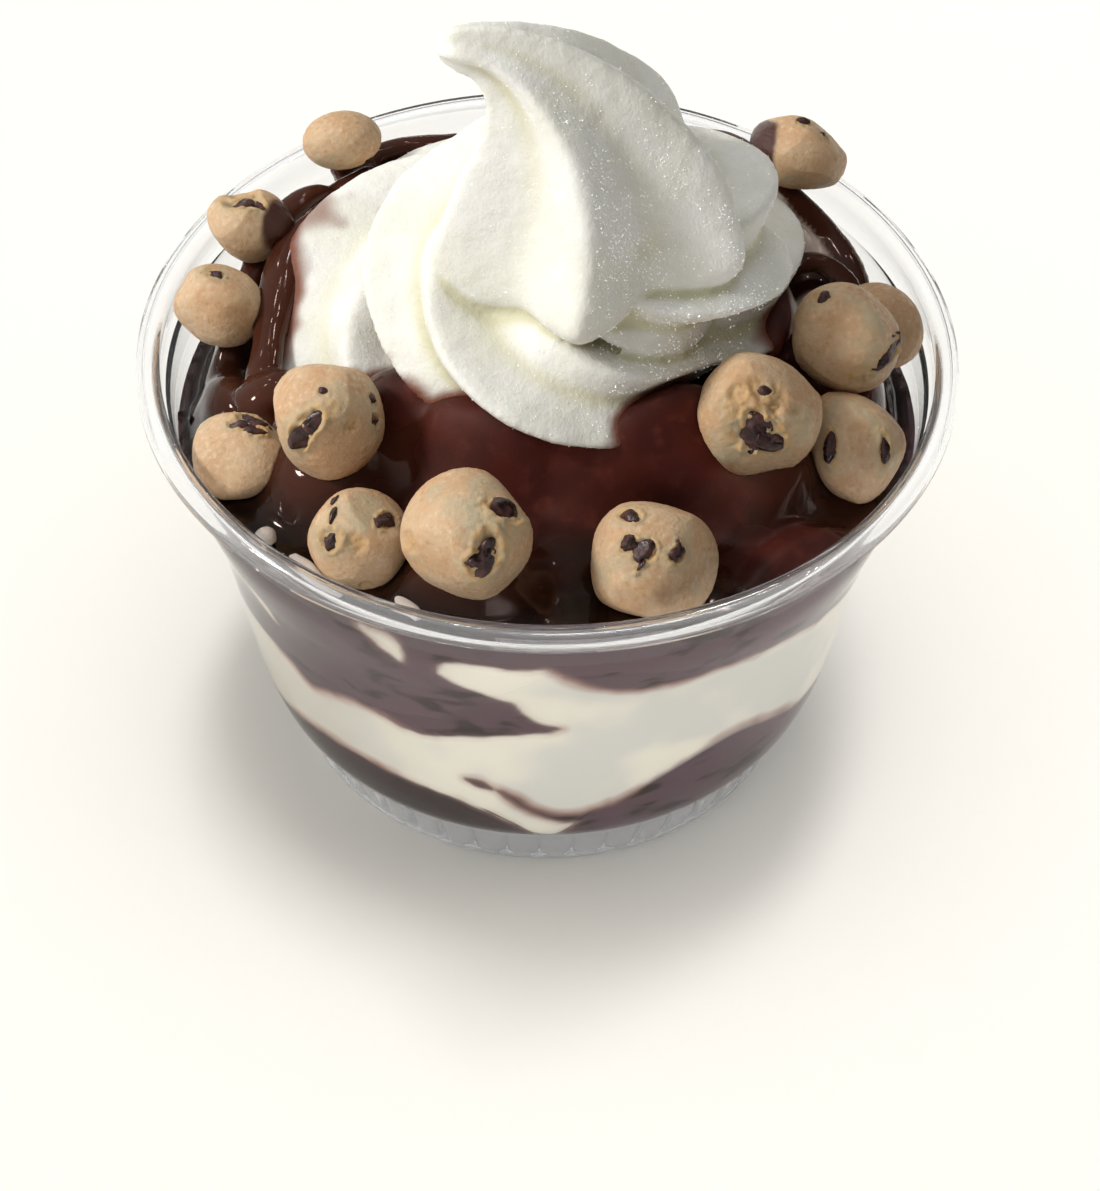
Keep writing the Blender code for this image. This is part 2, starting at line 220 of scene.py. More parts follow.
def smooth_step(low, high, value):
    share = np.clip((value - low) / (high - low), 0, 1)
    return share * share * (3 - 2 * share)


def started_from(primitive, name, **shape):
    """A new piece that starts as one of Blender's primitives."""
    bpy.ops.object.select_all(action="DESELECT")
    primitive(**shape)
    piece = bpy.context.active_object
    piece.name = piece.data.name = name
    return piece


def points_of(piece):
    points = np.empty(len(piece.data.vertices) * 3, np.float32)
    piece.data.vertices.foreach_get("co", points)
    return points.reshape(-1, 3).astype(float)


def tree_of(piece):
    """The piece's faces in a form that answers quickly which is nearest to a place."""
    corners = [vertex.co.copy() for vertex in piece.data.vertices]
    return BVHTree.FromPolygons(corners, [list(face.vertices) for face in piece.data.polygons])


def move_points(piece, points):
    piece.data.vertices.foreach_set("co", np.asarray(points, np.float32).ravel())
    piece.data.update()


def paint(piece, name, values):
    """Keeps one number for each point of the mesh, which a material can read."""
    found = piece.data.attributes.new(name, "FLOAT", "POINT")
    found.data.foreach_set("value", np.asarray(values, np.float32))


def joined(name, pieces):
    select_only(*pieces)
    bpy.ops.object.join()
    whole = bpy.context.view_layer.objects.active
    whole.name = whole.data.name = name
    return whole


def remeshed(piece, voxel, smoothing=0):
    """One clean skin round everything in the piece."""
    skin = piece.modifiers.new("one_skin", "REMESH")
    skin.mode, skin.voxel_size = "VOXEL", voxel
    if smoothing:
        soften = piece.modifiers.new("soften", "SMOOTH")
        soften.factor, soften.iterations = 0.5, smoothing
    apply_all(piece)
    return piece


def finish_piece(piece, material, slot, *nodes):
    """Gives a piece its finish and its place in the frame."""
    piece.data.materials.clear()
    piece.data.materials.append(material)
    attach(piece, "root")
    if nodes:
        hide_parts(*nodes)
    piece.data.calc_loop_triangles()
    print(piece.name, len(piece.data.loop_triangles), "triangles")


def new_finish(name, **sockets):
    """A material and its shader, with the given sockets set."""
    material = bpy.data.materials.new(name)
    material.use_nodes = True
    shader = material.node_tree.nodes["Principled BSDF"]
    for socket, value in sockets.items():
        shader.inputs[socket.replace("_", " ")].default_value = value
    return material, shader


def add_node(material, kind, feeds, **settings):
    """A node with its sockets fed by values or by other nodes' outputs."""
    made = material.node_tree.nodes.new("ShaderNode" + kind)
    for key, value in settings.items():
        setattr(made, key, value)
    for socket, value in feeds.items():
        if isinstance(value, bpy.types.NodeSocket):
            material.node_tree.links.new(value, made.inputs[socket])
        else:
            made.inputs[socket].default_value = value
    return made


def grain(material, size, detail=3.0, roughness=0.5, stretch=(1, 1, 1)):
    """Noise whose lumps are about `size` metres across, fixed to the piece."""
    where = add_node(material, "TexCoord", {}).outputs["Object"]
    spread = add_node(material, "Mapping", {"Vector": where, "Scale": stretch}).outputs[0]
    feeds = {"Vector": spread, "Scale": 1 / size, "Detail": detail, "Roughness": roughness}
    return add_node(material, "TexNoise", feeds).outputs[0]


def ramp(material, value, low, high, to_low=0.0, to_high=1.0):
    """Carries a value from one range to another, smoothly and with its ends held."""
    feeds = {"Value": value, "From Min": low, "From Max": high, "To Min": to_low, "To Max": to_high}
    return add_node(material, "MapRange", feeds, interpolation_type="SMOOTHSTEP").outputs[0]


def blend_colours(material, share, first, second):
    mix = add_node(material, "Mix", {}, data_type="RGBA")
    for index, value in ((0, share), (6, first), (7, second)):
        if isinstance(value, bpy.types.NodeSocket):
            material.node_tree.links.new(value, mix.inputs[index])
        else:
            mix.inputs[index].default_value = value if index == 0 else (*value, 1)
    return mix.outputs[2]


def math_node(material, operation, first, second):
    return add_node(material, "Math", {0: first, 1: second}, operation=operation).outputs[0]


def product(material, first, second):
    return math_node(material, "MULTIPLY", first, second)


def larger(material, first, second):
    return math_node(material, "MAXIMUM", first, second)


def place_on(material):
    """The X, Y and Z of the place on the piece."""
    where = add_node(material, "TexCoord", {}).outputs["Object"]
    return add_node(material, "SeparateXYZ", {0: where}).outputs


def painted(material, name):
    return add_node(material, "Attribute", {}, attribute_name=name).outputs["Fac"]


def link(material, output, shader, socket):
    material.node_tree.links.new(output, shader.inputs[socket])


def relief(material, shader, height, depth, under=None):
    """Bump of a depth in metres, on top of another bump if one is given."""
    feeds = {"Height": height, "Distance": depth, "Strength": 1.0}
    if under is not None:
        feeds["Normal"] = under
    bump = add_node(material, "Bump", feeds).outputs[0]
    link(material, bump, shader, "Normal")
    return bump


def colour(red, green, blue):
    """A screen colour, 0 to 255, as the linear light that a shader takes."""
    shares = (red / 255, green / 255, blue / 255)
    return tuple(((c + 0.055) / 1.055) ** 2.4 if c > 0.04 else c / 12.92 for c in shares)


print("helpers ready")

# %% [markdown]
# The floor is one big plane in a warm white. It is marked as stage, so that it isn't part of the sundae.

# %% Floor
FLOOR_SIZE = 6.0
UNDER_FOOT = 0.05 * MM
floor_place = (0, 0, solid_box[0][2] - UNDER_FOOT)
floor = started_from(bpy.ops.mesh.primitive_plane_add, "floor", size=FLOOR_SIZE, location=floor_place)
floor_finish, floor_shader = new_finish("cream_floor", Base_Color=(0.90, 0.877, 0.822, 1), Roughness=0.9)
floor_shader.inputs["Specular IOR Level"].default_value = 0.1
floor.data.materials.append(floor_finish)
floor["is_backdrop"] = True


def share_light(lamps, *pieces, lit=True):
    """Makes lamps light these pieces alone or, if lit is False, all but these. All still cast their shade."""
    group = bpy.data.collections.new(f"light_of_{lamps[0].name}")
    for made in lamps:
        made.light_linking.receiver_collection = group
    share_more_light(lamps[0], *pieces, lit=lit)


def share_more_light(made, *pieces, lit=True):
    """Adds pieces to those of a lamp, and so of all lamps that share its light."""
    group = made.light_linking.receiver_collection
    for piece in pieces:
        group.objects.link(piece)
        linked = group.collection_objects[len(group.objects) - 1]
        linked.light_linking.link_state = "INCLUDE" if lit else "EXCLUDE"


share_light([overhead, wash], floor)
share_light([key, *glints], floor, lit=False)
print("floor", FLOOR_SIZE, "m wide")

# %% [markdown]
# ## The cup
# A thin cup like this is pressed from clear sheet half a millimetre thick. Its wall leans outwards to a small
# ledge, on which cups nest, and ends in a lip that is curled over and down. The foot is a short ring with
# upright flutes that keep it stiff. The section of a turned shape is drawn once and spun round the axis, so
# both faces of the wall, the ledge and the curl come out in one go.

# %% Sizes of the cup
cup_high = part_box("cup")[1]
RIM_RADIUS = cup_high.x
RIM_TOP = cup_high.z
SHEET = 0.5 * MM
LIP_DEPTH = 2.3 * MM
FLOOR_HEIGHT = 7.0 * MM
# The outside of the wall, as (height, radius), from the neck above the foot to the ledge
WALL_OUTSIDE = [
    (7.2 * MM, 33.0 * MM),
    (8.2 * MM, 34.0 * MM),
    (10.0 * MM, 34.9 * MM),
    (14.0 * MM, 36.2 * MM),
    (20.0 * MM, 37.5 * MM),
    (28.0 * MM, 39.1 * MM),
    (34.0 * MM, 40.45 * MM),
    (38.0 * MM, 41.6 * MM),
    (42.0 * MM, 43.1 * MM),
    (46.0 * MM, 44.45 * MM),
    (50.0 * MM, 45.3 * MM),
    (52.5 * MM, 45.75 * MM),
]


def through(rows, at):
    """The values of a smooth curve through rows of (place, values...) at one place."""
    i = max(k for k in range(len(rows) - 1) if k == 0 or rows[k][0] <= at)
    before, here, there, after = (rows[min(max(k, 0), len(rows) - 1)] for k in (i - 1, i, i + 1, i + 2))
    span = there[0] - here[0]
    t = (at - here[0]) / span
    values = []
    for p, a, b, n in zip(before[1:], here[1:], there[1:], after[1:]):
        slope_a = (b - p) / (there[0] - before[0]) * span
        slope_b = (n - a) / (after[0] - here[0]) * span
        values.append(
            a * (2 * t**3 - 3 * t**2 + 1) + slope_a * (t**3 - 2 * t**2 + t)
            + b * (3 * t**2 - 2 * t**3) + slope_b * (t**3 - t**2)
        )
    return values


def wall_outside(z):
    return through(WALL_OUTSIDE, min(max(z, WALL_OUTSIDE[0][0]), WALL_OUTSIDE[-1][0]))[0]


def wall_inside(z):
    return wall_outside(z) - SHEET


print("cup", round(2 * RIM_RADIUS / MM, 1), "mm across,", round(RIM_TOP / MM, 1), "mm high")

# %% Section of the cup
WALL_ROWS = 36
FOOT_TOP, FOOT_BOTTOM = 32.3 * MM, 30.5 * MM


def corner(middle, radius, start, end, steps=5):
    """Points of (radius, height) round a corner, between two angles in degrees."""
    angles = [math.radians(start + (end - start) * i / steps) for i in range(steps + 1)]
    return [(middle[0] + radius * math.cos(a), middle[1] + radius * math.sin(a)) for a in angles]


def cup_section():
    low, high = WALL_OUTSIDE[0][0], WALL_OUTSIDE[-1][0]
    heights = [low + (high - low) * i / WALL_ROWS for i in range(WALL_ROWS + 1)]
    foot = [(0, FLOOR_HEIGHT - SHEET), (FOOT_TOP - 2.2 * SHEET, FLOOR_HEIGHT - SHEET)]
    foot += [(FOOT_TOP - 1.6 * SHEET, FLOOR_HEIGHT - 2 * SHEET), (FOOT_BOTTOM - SHEET, 0.6 * SHEET)]
    foot += [(FOOT_BOTTOM - 0.7 * SHEET, 0), (FOOT_BOTTOM - 0.3 * SHEET, 0), (FOOT_BOTTOM, 0.5 * SHEET)]
    foot += [(FOOT_BOTTOM + (FOOT_TOP - FOOT_BOTTOM) * i / 5, 0.8 * MM + 4.9 * MM * i / 5) for i in range(6)]
    foot += [(FOOT_TOP + 0.1 * MM, FLOOR_HEIGHT - 0.6 * MM)]
    outside = [(wall_outside(z), z) for z in heights]
    ledge = [(46.2 * MM, 52.7 * MM), (46.5 * MM, 53.1 * MM), (46.6 * MM, 53.8 * MM), (46.6 * MM, 55.2 * MM)]
    under_lip = corner((47.5 * MM, RIM_TOP - SHEET - 0.9 * MM), 0.9 * MM, 180, 0)
    skirt_bottom = RIM_TOP - LIP_DEPTH
    skirt = [(RIM_RADIUS - SHEET, skirt_bottom), (RIM_RADIUS - 0.5 * SHEET, skirt_bottom - 0.12 * MM)]
    skirt += [(RIM_RADIUS, skirt_bottom + 0.05 * MM)]
    over_lip = corner((RIM_RADIUS - 1.2 * MM, RIM_TOP - 1.2 * MM), 1.2 * MM, 0, 90)
    over_lip += corner((47.1 * MM, RIM_TOP - 1.0 * MM), 1.0 * MM, 90, 180)
    inner_ledge = [(46.1 * MM, 55.2 * MM), (46.1 * MM, 53.8 * MM)]
    inner_ledge += [(46.0 * MM, 53.3 * MM), (45.6 * MM, 52.95 * MM)]
    inside = [(wall_inside(z), z) for z in reversed(heights) if z > FLOOR_HEIGHT + SHEET]
    bottom = [(32.6 * MM, FLOOR_HEIGHT + 0.25 * MM), (31.8 * MM, FLOOR_HEIGHT), (0, FLOOR_HEIGHT)]
    return foot + outside + ledge + under_lip + skirt + over_lip + inner_ledge + inside + bottom


def spun(name, section, steps):
    """A closed shape turned round the axis from a section of (radius, height) that starts and ends on it."""
    mesh = bpy.data.meshes.new(name)
    mesh.from_pydata([(r, 0, z) for r, z in section], [(i, i + 1) for i in range(len(section) - 1)], [])
    piece = bpy.data.objects.new(name, mesh)
    bpy.context.scene.collection.objects.link(piece)
    select_only(piece)
    bpy.ops.object.mode_set(mode="EDIT")
    bpy.ops.mesh.select_all(action="SELECT")
    bpy.ops.mesh.spin(steps=steps, angle=2 * math.pi, center=(0, 0, 0), axis=(0, 0, 1))
    bpy.ops.mesh.select_all(action="SELECT")
    bpy.ops.mesh.remove_doubles(threshold=0.001 * MM)
    bpy.ops.mesh.normals_make_consistent(inside=False)
    bpy.ops.object.mode_set(mode="OBJECT")
    return piece


FLUTES_ROUND = 48
STEPS_PER_FLUTE = 5
cup = spun("cup_shell", cup_section(), FLUTES_ROUND * STEPS_PER_FLUTE)
print("cup section:", len(cup_section()), "points")

# %% [markdown]
# Each flute of the foot is a shallow panel between two narrow grooves. The spin put five columns of points on
# each panel, so every fifth column of the ring is pressed in a little to make the grooves.

# %% Flutes of the foot
GROOVE_DEPTH = 0.5 * MM
GROOVE_FROM = 0.5 * MM
GROOVE_TO = FLOOR_HEIGHT - MM


def press_grooves(piece):
    points = points_of(piece)
    radius = np.hypot(points[:, 0], points[:, 1])
    column = np.round(np.arctan2(points[:, 1], points[:, 0]) / (2 * math.pi) * FLUTES_ROUND * STEPS_PER_FLUTE)
    on_ring = (points[:, 2] > GROOVE_FROM) & (points[:, 2] < GROOVE_TO) & (radius > FOOT_BOTTOM - 1.2 * SHEET)
    groove = on_ring & (column.astype(int) % STEPS_PER_FLUTE == 0)
    points[groove, :2] *= (1 - GROOVE_DEPTH / radius[groove])[:, None]
    move_points(piece, points)
    return int(groove.sum())


print("points pressed into grooves:", press_grooves(cup))
smooth_by_angle(cup, 40)

# %% [markdown]
# Clear plastic passes nearly all light and bends it, so the shader is a smooth dielectric. A little of its
# own whiteness is left in, because pressed sheet is never quite clear, and faint long ripples come from the
# draw. The foot is the least drawn and so the thickest, and it takes a second, milkier finish of the same
# kind; part of that whiteness is painted reflection, for the white that the foot reflects. Where food wets the
# wall there is hardly any mirror left, so a third finish bends light less there.

# %% Plastic
FOOD_TOUCHES_TO = 49 * MM


def make_plastic(name, clearness, bends=1.42):
    """Clear sheet: how clear it is, and how much it bends light."""
    material, shader = new_finish(name, Base_Color=(0.955, 0.965, 0.985, 1), Roughness=0.02, IOR=bends)
    shader.inputs["Transmission Weight"].default_value = clearness
    ripples = grain(material, 9 * MM, detail=1.0, stretch=(1, 1, 0.25))
    relief(material, shader, ripples, 0.03 * MM)
    return material


CLEAR, THICK, ON_FOOD = range(3)
finish_piece(cup, make_plastic("clear_plastic", 0.985), "clear_plastic", "cup")
# The foot's milkier finish is partly painted reflection of white
cup.data.materials.append(make_plastic("thick_plastic", 0.80))
cup.data.materials.append(make_plastic("plastic_on_food", 0.985, 1.24))
for face in cup.data.polygons:
    if face.center.z < FLOOR_HEIGHT and math.hypot(*face.center[:2]) > FOOT_BOTTOM - 3 * SHEET:
        face.material_index = THICK
    elif FLOOR_HEIGHT < face.center.z < FOOD_TOUCHES_TO:
        face.material_index = ON_FOOD
    else:
        face.material_index = CLEAR
share_more_light(overhead, cup)

# %% [markdown]
# ## What shows through the wall
# Three layers lie in the cup: fudge, soft serve and fudge again. Behind clear plastic their edges show as
# swirled bands, with tongues and smears where one food was pushed into the other. The bodies of the layers
# are simple, and the finer pattern is painted: each point near the wall gets a share of fudge from its place
# beside a drawn line. The lines are smooth curves through a few places of (heading, height).

# %% Lines between the layers
# Top of the soft serve, once round. The tongue of fudge makes the line turn back on itself at the front.
CREAM_TOP_LINE = [
    (180, 26.5), (195, 27.8), (210, 28.8), (218, 28.4), (225, 26.2), (232, 28.2), (240, 29.2), (247, 27.9),
    (254, 29.0), (261, 30.5), (267, 31.7), (272.5, 32.4), (273.3, 33.1), (270, 34.6), (267, 36.8),
    (265, 39.5), (260, 40.9), (256, 43.0), (254.2, 44.9), (256, 46.9), (260, 47.6), (265, 47.3), (270, 47.6),
    (273, 45.7), (277, 43.1), (284, 40.9), (292, 40.2), (301, 40.4), (312, 39.3), (326, 36.4), (342, 33.6),
    (360, 33.0), (378, 34.8), (400, 36.5), (425, 35.6), (450, 31.5), (475, 28.6), (505, 26.8), (540, 26.5),
]
CREAM_BOTTOM_LINE = [
    (180, 13.4), (200, 13.6), (212, 14.8), (223, 17.0), (232, 17.6), (240, 17.2), (247, 16.5), (254, 15.6),
    (260, 13.8), (265, 11.2), (269, 8.6), (273, 8.2), (276, 10.4), (279, 13.6), (286, 16.7), (291, 19.2),
    (297, 21.6), (303, 23.2), (309, 23.4), (318, 20.9), (328, 17.6), (345, 15.6), (370, 14.6), (400, 16.6),
    (430, 18.8), (458, 18.2), (485, 15.8), (515, 13.9), (540, 13.4),
]
# Loose smears at the wall, as (heading, height, half-width) along each: two of fudge, then four of cream
FUDGE_SMEARS = [
    [
        (262.5, 19.0, 0.5), (265, 17.6, 1.0), (268, 15.6, 0.9), (272, 13.9, 1.1), (277, 13.2, 1.5),
        (283, 13.9, 2.0),
    ],
    [(256.5, 20.4, 0.4), (258.5, 20.0, 0.9), (261, 19.4, 0.5)],
]
CREAM_SMEARS = [
    [(243.0, 49.6, 0.7), (246.0, 48.6, 1.5), (247.6, 46.6, 1.0), (248.2, 44.8, 0.25)],
    [(214, 40, 0.3), (217, 38.5, 1.3), (219, 36.5, 0.4)],
    [(100, 38, 0.4), (112, 39.5, 1.8), (126, 38.6, 0.5)],
    [(20, 42, 0.3), (31, 42.8, 1.5), (40, 41.5, 0.4)],
]
WALL_ARC = math.radians(1) * 41 * MM  # along the wall, for one degree


def curve_through(rows, steps=4):
    """More points on a smooth curve through rows of equal length, `steps` for each row."""
    numbered = [(i, *row) for i, row in enumerate(rows)]
    return np.array([through(numbered, i / steps) for i in range((len(rows) - 1) * steps + 1)])


def flat_line(rows):
    """The line unrolled from the wall, in metres along and up."""
    return curve_through(rows) * (WALL_ARC, MM)


def along_wall(headings):
    return (180 + (np.asarray(headings) - 180) % 360) * WALL_ARC


def distance_to(line, places):
    """From each place to an unrolled line, and how far along the line that is."""
    best = np.full(len(places), np.inf)
    where = np.zeros(len(places))
    for i, (a, b) in enumerate(zip(line, line[1:])):
        span = b - a
        t = np.clip((places - a) @ span / max(span @ span, 1e-18), 0, 1)
        away = np.hypot(*(places - a - t[:, None] * span).T)
        nearer = away < best
        best[nearer], where[nearer] = away[nearer], (i + t)[nearer]
    return best, where


def above(line, places):
    """Whether each place is above an unrolled line, also where the line turns back on itself."""
    crossed = np.zeros(len(places), int)
    for a, b in zip(line, line[1:]):
        spans = (a[0] <= places[:, 0]) != (b[0] <= places[:, 0])
        height = a[1] + (b[1] - a[1]) * (places[:, 0] - a[0]) / (b[0] - a[0] or 1e-12)
        crossed += spans & (height < places[:, 1])
    return crossed % 2 == 1


cream_top_line, cream_bottom_line = flat_line(CREAM_TOP_LINE), flat_line(CREAM_BOTTOM_LINE)
print("points on the two lines:", len(cream_top_line), len(cream_bottom_line))


# %% Share of fudge at the wall
def smear_depth(smears, places):
    """How far each place lies inside the nearest smear, in metres. Outside, it is negative."""
    depth = np.full(len(places), -np.inf)
    for smear in smears:
        course = curve_through(smear)
        away, where = distance_to(course[:, :2] * (WALL_ARC, MM), places)
        width = np.interp(where, np.arange(len(course)), course[:, 2]) * MM
        depth = np.maximum(depth, width - away)
    return depth


def fudge_share(points, edge=0.34 * MM):
    """0 where cream touches the wall, 1 where fudge does, with soft edges between."""
    headings = np.degrees(np.arctan2(points[:, 1], points[:, 0])) % 360
    places = np.column_stack([along_wall(headings), points[:, 2]])
    wobble = np.array([noise.noise(Vector(p) * 260) + 0.5 * noise.noise(Vector(p) * 620) for p in points])
    places[:, 1] += wobble * 0.55 * MM
    signed = []
    for line, side in ((cream_top_line, 1), (cream_bottom_line, -1)):
        away, _ = distance_to(line, places)
        signed.append(away * np.where(above(line, places), side, -side))
    depth = np.maximum(np.maximum(signed[0], signed[1]), smear_depth(FUDGE_SMEARS, places))
    depth = np.minimum(depth, -smear_depth(CREAM_SMEARS, places))
    return smooth_step(-edge, edge, depth), depth


# %% [markdown]
# ## The layers
# A ball is already a closed skin of rings. Its lower rings can be laid over a layer's underside, its middle
# rings up the wall and its upper rings over the top, so a sphere primitive gives the whole layer with no
# seams. The layers reach a little way into the plastic, because a film of air there would look like silver.

# %% Layer from a ball
INTO_WALL = 0.2 * MM
LAYER_STEPS = 600
wall_table = np.linspace(0, RIM_TOP, 400)
wall_radii = np.array([wall_inside(z) for z in wall_table])


def wall_radius(z):
    return np.interp(z, wall_table, wall_radii) + INTO_WALL


def wall_height(line, headings):
    """The height of a layer's edge, read off a line with its turned-back stretches skipped."""
    forward = np.maximum.accumulate(line[:, 0])
    rising = np.r_[True, np.diff(forward) > 0]
    return np.interp(along_wall(headings), line[rising, 0], line[rising, 1])


def even_surface(line, middle, lap=0.0):
    """Heights over (x, y) from a middle height to the line at the wall. A lap raises and widens its steps."""
    table = np.linspace(0, 360, 721)
    edge = wall_height(line, table % 360)
    if lap:
        widest = np.max([np.roll(edge[:-1], k) for k in range(-24, 25)], axis=0)
        evened = np.mean([np.roll(widest, k) for k in range(-18, 19)], axis=0)
        edge = np.append(evened, evened[0]) + lap

    def height(x, y):
        share = np.minimum(1, np.hypot(x, y) / (42 * MM)) ** 1.5
        return middle + (np.interp(np.degrees(np.arctan2(y, x)) % 360, table, edge) - middle) * share

    return height


def layer(name, low, high, top_rings, side_rings, low_rings, steps=LAYER_STEPS, inset=0.0):
    """A closed layer between two surfaces, out to just inside the plastic, from a ball with so many rings."""
    rings = top_rings + side_rings + low_rings
    piece = started_from(
        bpy.ops.mesh.primitive_uv_sphere_add, name, segments=steps, ring_count=rings, radius=1
    )
    ball = points_of(piece)
    ring = np.rint(np.arccos(np.clip(ball[:, 2], -1, 1)) * rings / math.pi)
    turn = np.arctan2(ball[:, 1], ball[:, 0])
    aim = np.column_stack([np.cos(turn), np.sin(turn)])
    edge_high, edge_low = high(*(aim * 42.5 * MM).T), low(*(aim * 42.5 * MM).T)
    share = np.clip((ring - top_rings) / side_rings, 0, 1)
    z = edge_high + (edge_low - edge_high) * share
    reach = np.where(ring < top_rings, ring / top_rings, np.where(share < 1, 1, (rings - ring) / low_rings))
    radius = (wall_radius(z) - inset) * reach
    x, y = (aim * radius[:, None]).T
    z = np.where(ring < top_rings, high(x, y), np.where(share >= 1, low(x, y), z))
    move_points(piece, np.column_stack([x, y, z]))
    return piece


def paint_side(piece):
    """Paints the share of fudge, the distance from the line, and how near the wall each point is."""
    points = points_of(piece)
    share, depth = fudge_share(points)
    paint(piece, "fudge_share", share)
    paint(piece, "from_line", np.clip(depth / MM, -4, 4))
    away = wall_radius(points[:, 2]) - np.hypot(points[:, 0], points[:, 1])
    paint(piece, "at_wall", 1 - smooth_step(0.1 * MM, 0.9 * MM, away))


MIDDLE_OF_FUDGE_FLOOR, MIDDLE_OF_CREAM = 15 * MM, 36 * MM
LAP = 1.2 * MM  # how far the soft serve runs up behind the wall, in front of the fudge's lower edge
cup_floor_line = np.array([[0.0, FLOOR_HEIGHT - INTO_WALL], [1.0, FLOOR_HEIGHT - INTO_WALL]])
cup_floor = even_surface(cup_floor_line, FLOOR_HEIGHT - INTO_WALL)
cream_low = even_surface(cream_bottom_line, MIDDLE_OF_FUDGE_FLOOR)
cream_high = even_surface(cream_top_line, MIDDLE_OF_CREAM)
cream_lapped = even_surface(cream_top_line, MIDDLE_OF_CREAM, LAP)
fudge_bottom = layer("fudge_bottom_layer", cup_floor, cream_low, 12, 34, 14)
cream_middle = layer("cream_middle_layer", cream_low, cream_lapped, 12, 84, 12)
for piece in (fudge_bottom, cream_middle):
    paint_side(piece)
    smooth_by_angle(piece, 60)
print("layers:", fudge_bottom.name, cream_middle.name)

# %% [markdown]
# Seen through the wall, fudge is painted greyer and lighter than in the open. This is a painted haze that
# stands in for the milky sheen of the plastic over it. Along the line the two foods mix to a pinkish brown.
# The finish reads the painted share of fudge and adds faint streaks that run round the cup. It also paints the
# fudge darker towards the bottom on the left, and both foods darker towards the left as painted shade.

# %% Finish of the sides
# The fudge colour at the wall holds a painted haze for the plastic over it; the colours for the left hold
# painted shade
CREAM_AT_WALL = colour(246, 240, 224)
CREAM_COOL = colour(226, 224, 214)
CREAM_PAINTED_SHADE_LEFT = colour(204, 199, 184)
FUDGE_WITH_PAINTED_HAZE = colour(92, 66, 74)
FUDGE_DARK_AND_SHADED_AT_WALL = colour(40, 19, 14)
MIXED_AT_WALL = colour(176, 138, 122)


def side_colour(material):
    """Colour of what lies against the wall, with a painted haze over the fudge and painted shade to the left.
    """
    streaks = grain(material, 7 * MM, detail=4, stretch=(1, 1, 2.2))
    clouds = grain(material, 16 * MM, detail=2)
    place = place_on(material)
    # The fudge is painted darker towards the bottom on the left
    low, right = ramp(material, place["Z"], 34 * MM, 10 * MM), ramp(material, place["X"], -12 * MM, 12 * MM)
    low_left = math_node(material, "SUBTRACT", low, right)
    dark = larger(material, low_left, ramp(material, streaks, 0.52, 0.66))
    # Painted shade: the fudge darkens towards the left
    dark = larger(material, dark, ramp(material, place["X"], -8 * MM, -40 * MM, 0.0, 0.8))
    fudge = blend_colours(material, dark, FUDGE_WITH_PAINTED_HAZE, FUDGE_DARK_AND_SHADED_AT_WALL)
    cream = blend_colours(material, ramp(material, clouds, 0.42, 0.62), CREAM_AT_WALL, CREAM_COOL)
    # Painted shade: the cream darkens towards the left
    cream = blend_colours(material, ramp(material, place["X"], -4 * MM, -36 * MM), cream, CREAM_PAINTED_SHADE_LEFT)
    line = painted(material, "from_line")
    near = product(material, ramp(material, line, 1.3, 0.1), ramp(material, line, -1.4, -0.2))
    base = blend_colours(material, painted(material, "fudge_share"), cream, fudge)
    mixed = product(material, near, ramp(material, clouds, 0.40, 0.60, 0.15, 0.65))
    return blend_colours(material, mixed, base, MIXED_AT_WALL)


def make_side_finish(name):
    material, shader = new_finish(name, Roughness=0.45, IOR=1.4, Specular_IOR_Level=0.1)
    link(material, side_colour(material), shader, "Base Color")
    relief(material, shader, grain(material, 1.2 * MM, detail=2), 0.03 * MM)
    return material


finish_piece(fudge_bottom, make_side_finish("fudge_behind_plastic"), "fudge", "fudge_bottom")
finish_piece(cream_middle, make_side_finish("cream_behind_plastic"), "soft_serve", "ice_cream_middle")
share_light([fill], cup, fudge_bottom, cream_middle)
share_more_light(key, fudge_bottom, cream_middle, lit=False)
# Only these two layers shade the floor from its own lamps, so the shadow stays narrow under the wide rim
shades = bpy.data.collections.new("shades_floor")
for piece in (fudge_bottom, cream_middle):
    shades.objects.link(piece)
for made in (overhead, wash):
    made.light_linking.blocker_collection = shades

# %% [markdown]
# ## The swirl
# Soft serve leaves the nozzle as a rope with five flutes. It is laid in a wide coil, then in a tighter one,
# and ends in a dollop that is pulled up and curls over. Two things make it look laid and not turned: each
# crest keeps its bearing while the rope goes round, as the nozzle doesn't turn, and the rope sags to less
# height than width. The rope and the dollop are each a ball whose rings are laid along a path, and one clean
# skin then runs round both, so that the coils merge where they touch.

# %% Path of the rope and the dollop
# By degrees wound, clockwise: distance from its axis, height, half its width, axis x and axis y, in mm
ROPE_START = 225.0
ROPE = [
    (0, 20.0, 51.0, 9.0, 1.0, 3.0),
    (45, 22.8, 55.0, 12.0, 1.0, 3.0),
    (85, 24.6, 57.0, 12.8, 1.0, 3.0),
    (120, 23.6, 57.5, 12.6, 1.0, 3.0),
    (190, 22.0, 58.0, 12.5, 1.5, 3.0),
    (225, 17.0, 60.0, 10.5, 2.5, 2.0),
    (262, 10.5, 63.0, 9.5, 3.5, 1.0),
    (310, 12.3, 63.8, 12.2, 3.5, 0.3),
    (360, 13.0, 65.4, 12.5, 3.5, 0.5),
    (405, 13.0, 68.6, 12.6, 3.5, 1.0),
    (495, 13.0, 73.0, 12.6, 3.5, 1.0),
    (585, 12.8, 72.5, 12.8, 3.7, 1.0),
    (640, 8.5, 71.5, 10.5, 4.0, 0.5),
    (700, 3.0, 73.0, 6.0, 4.0, 0.5),
]
ROPE_SQUASH = 0.59
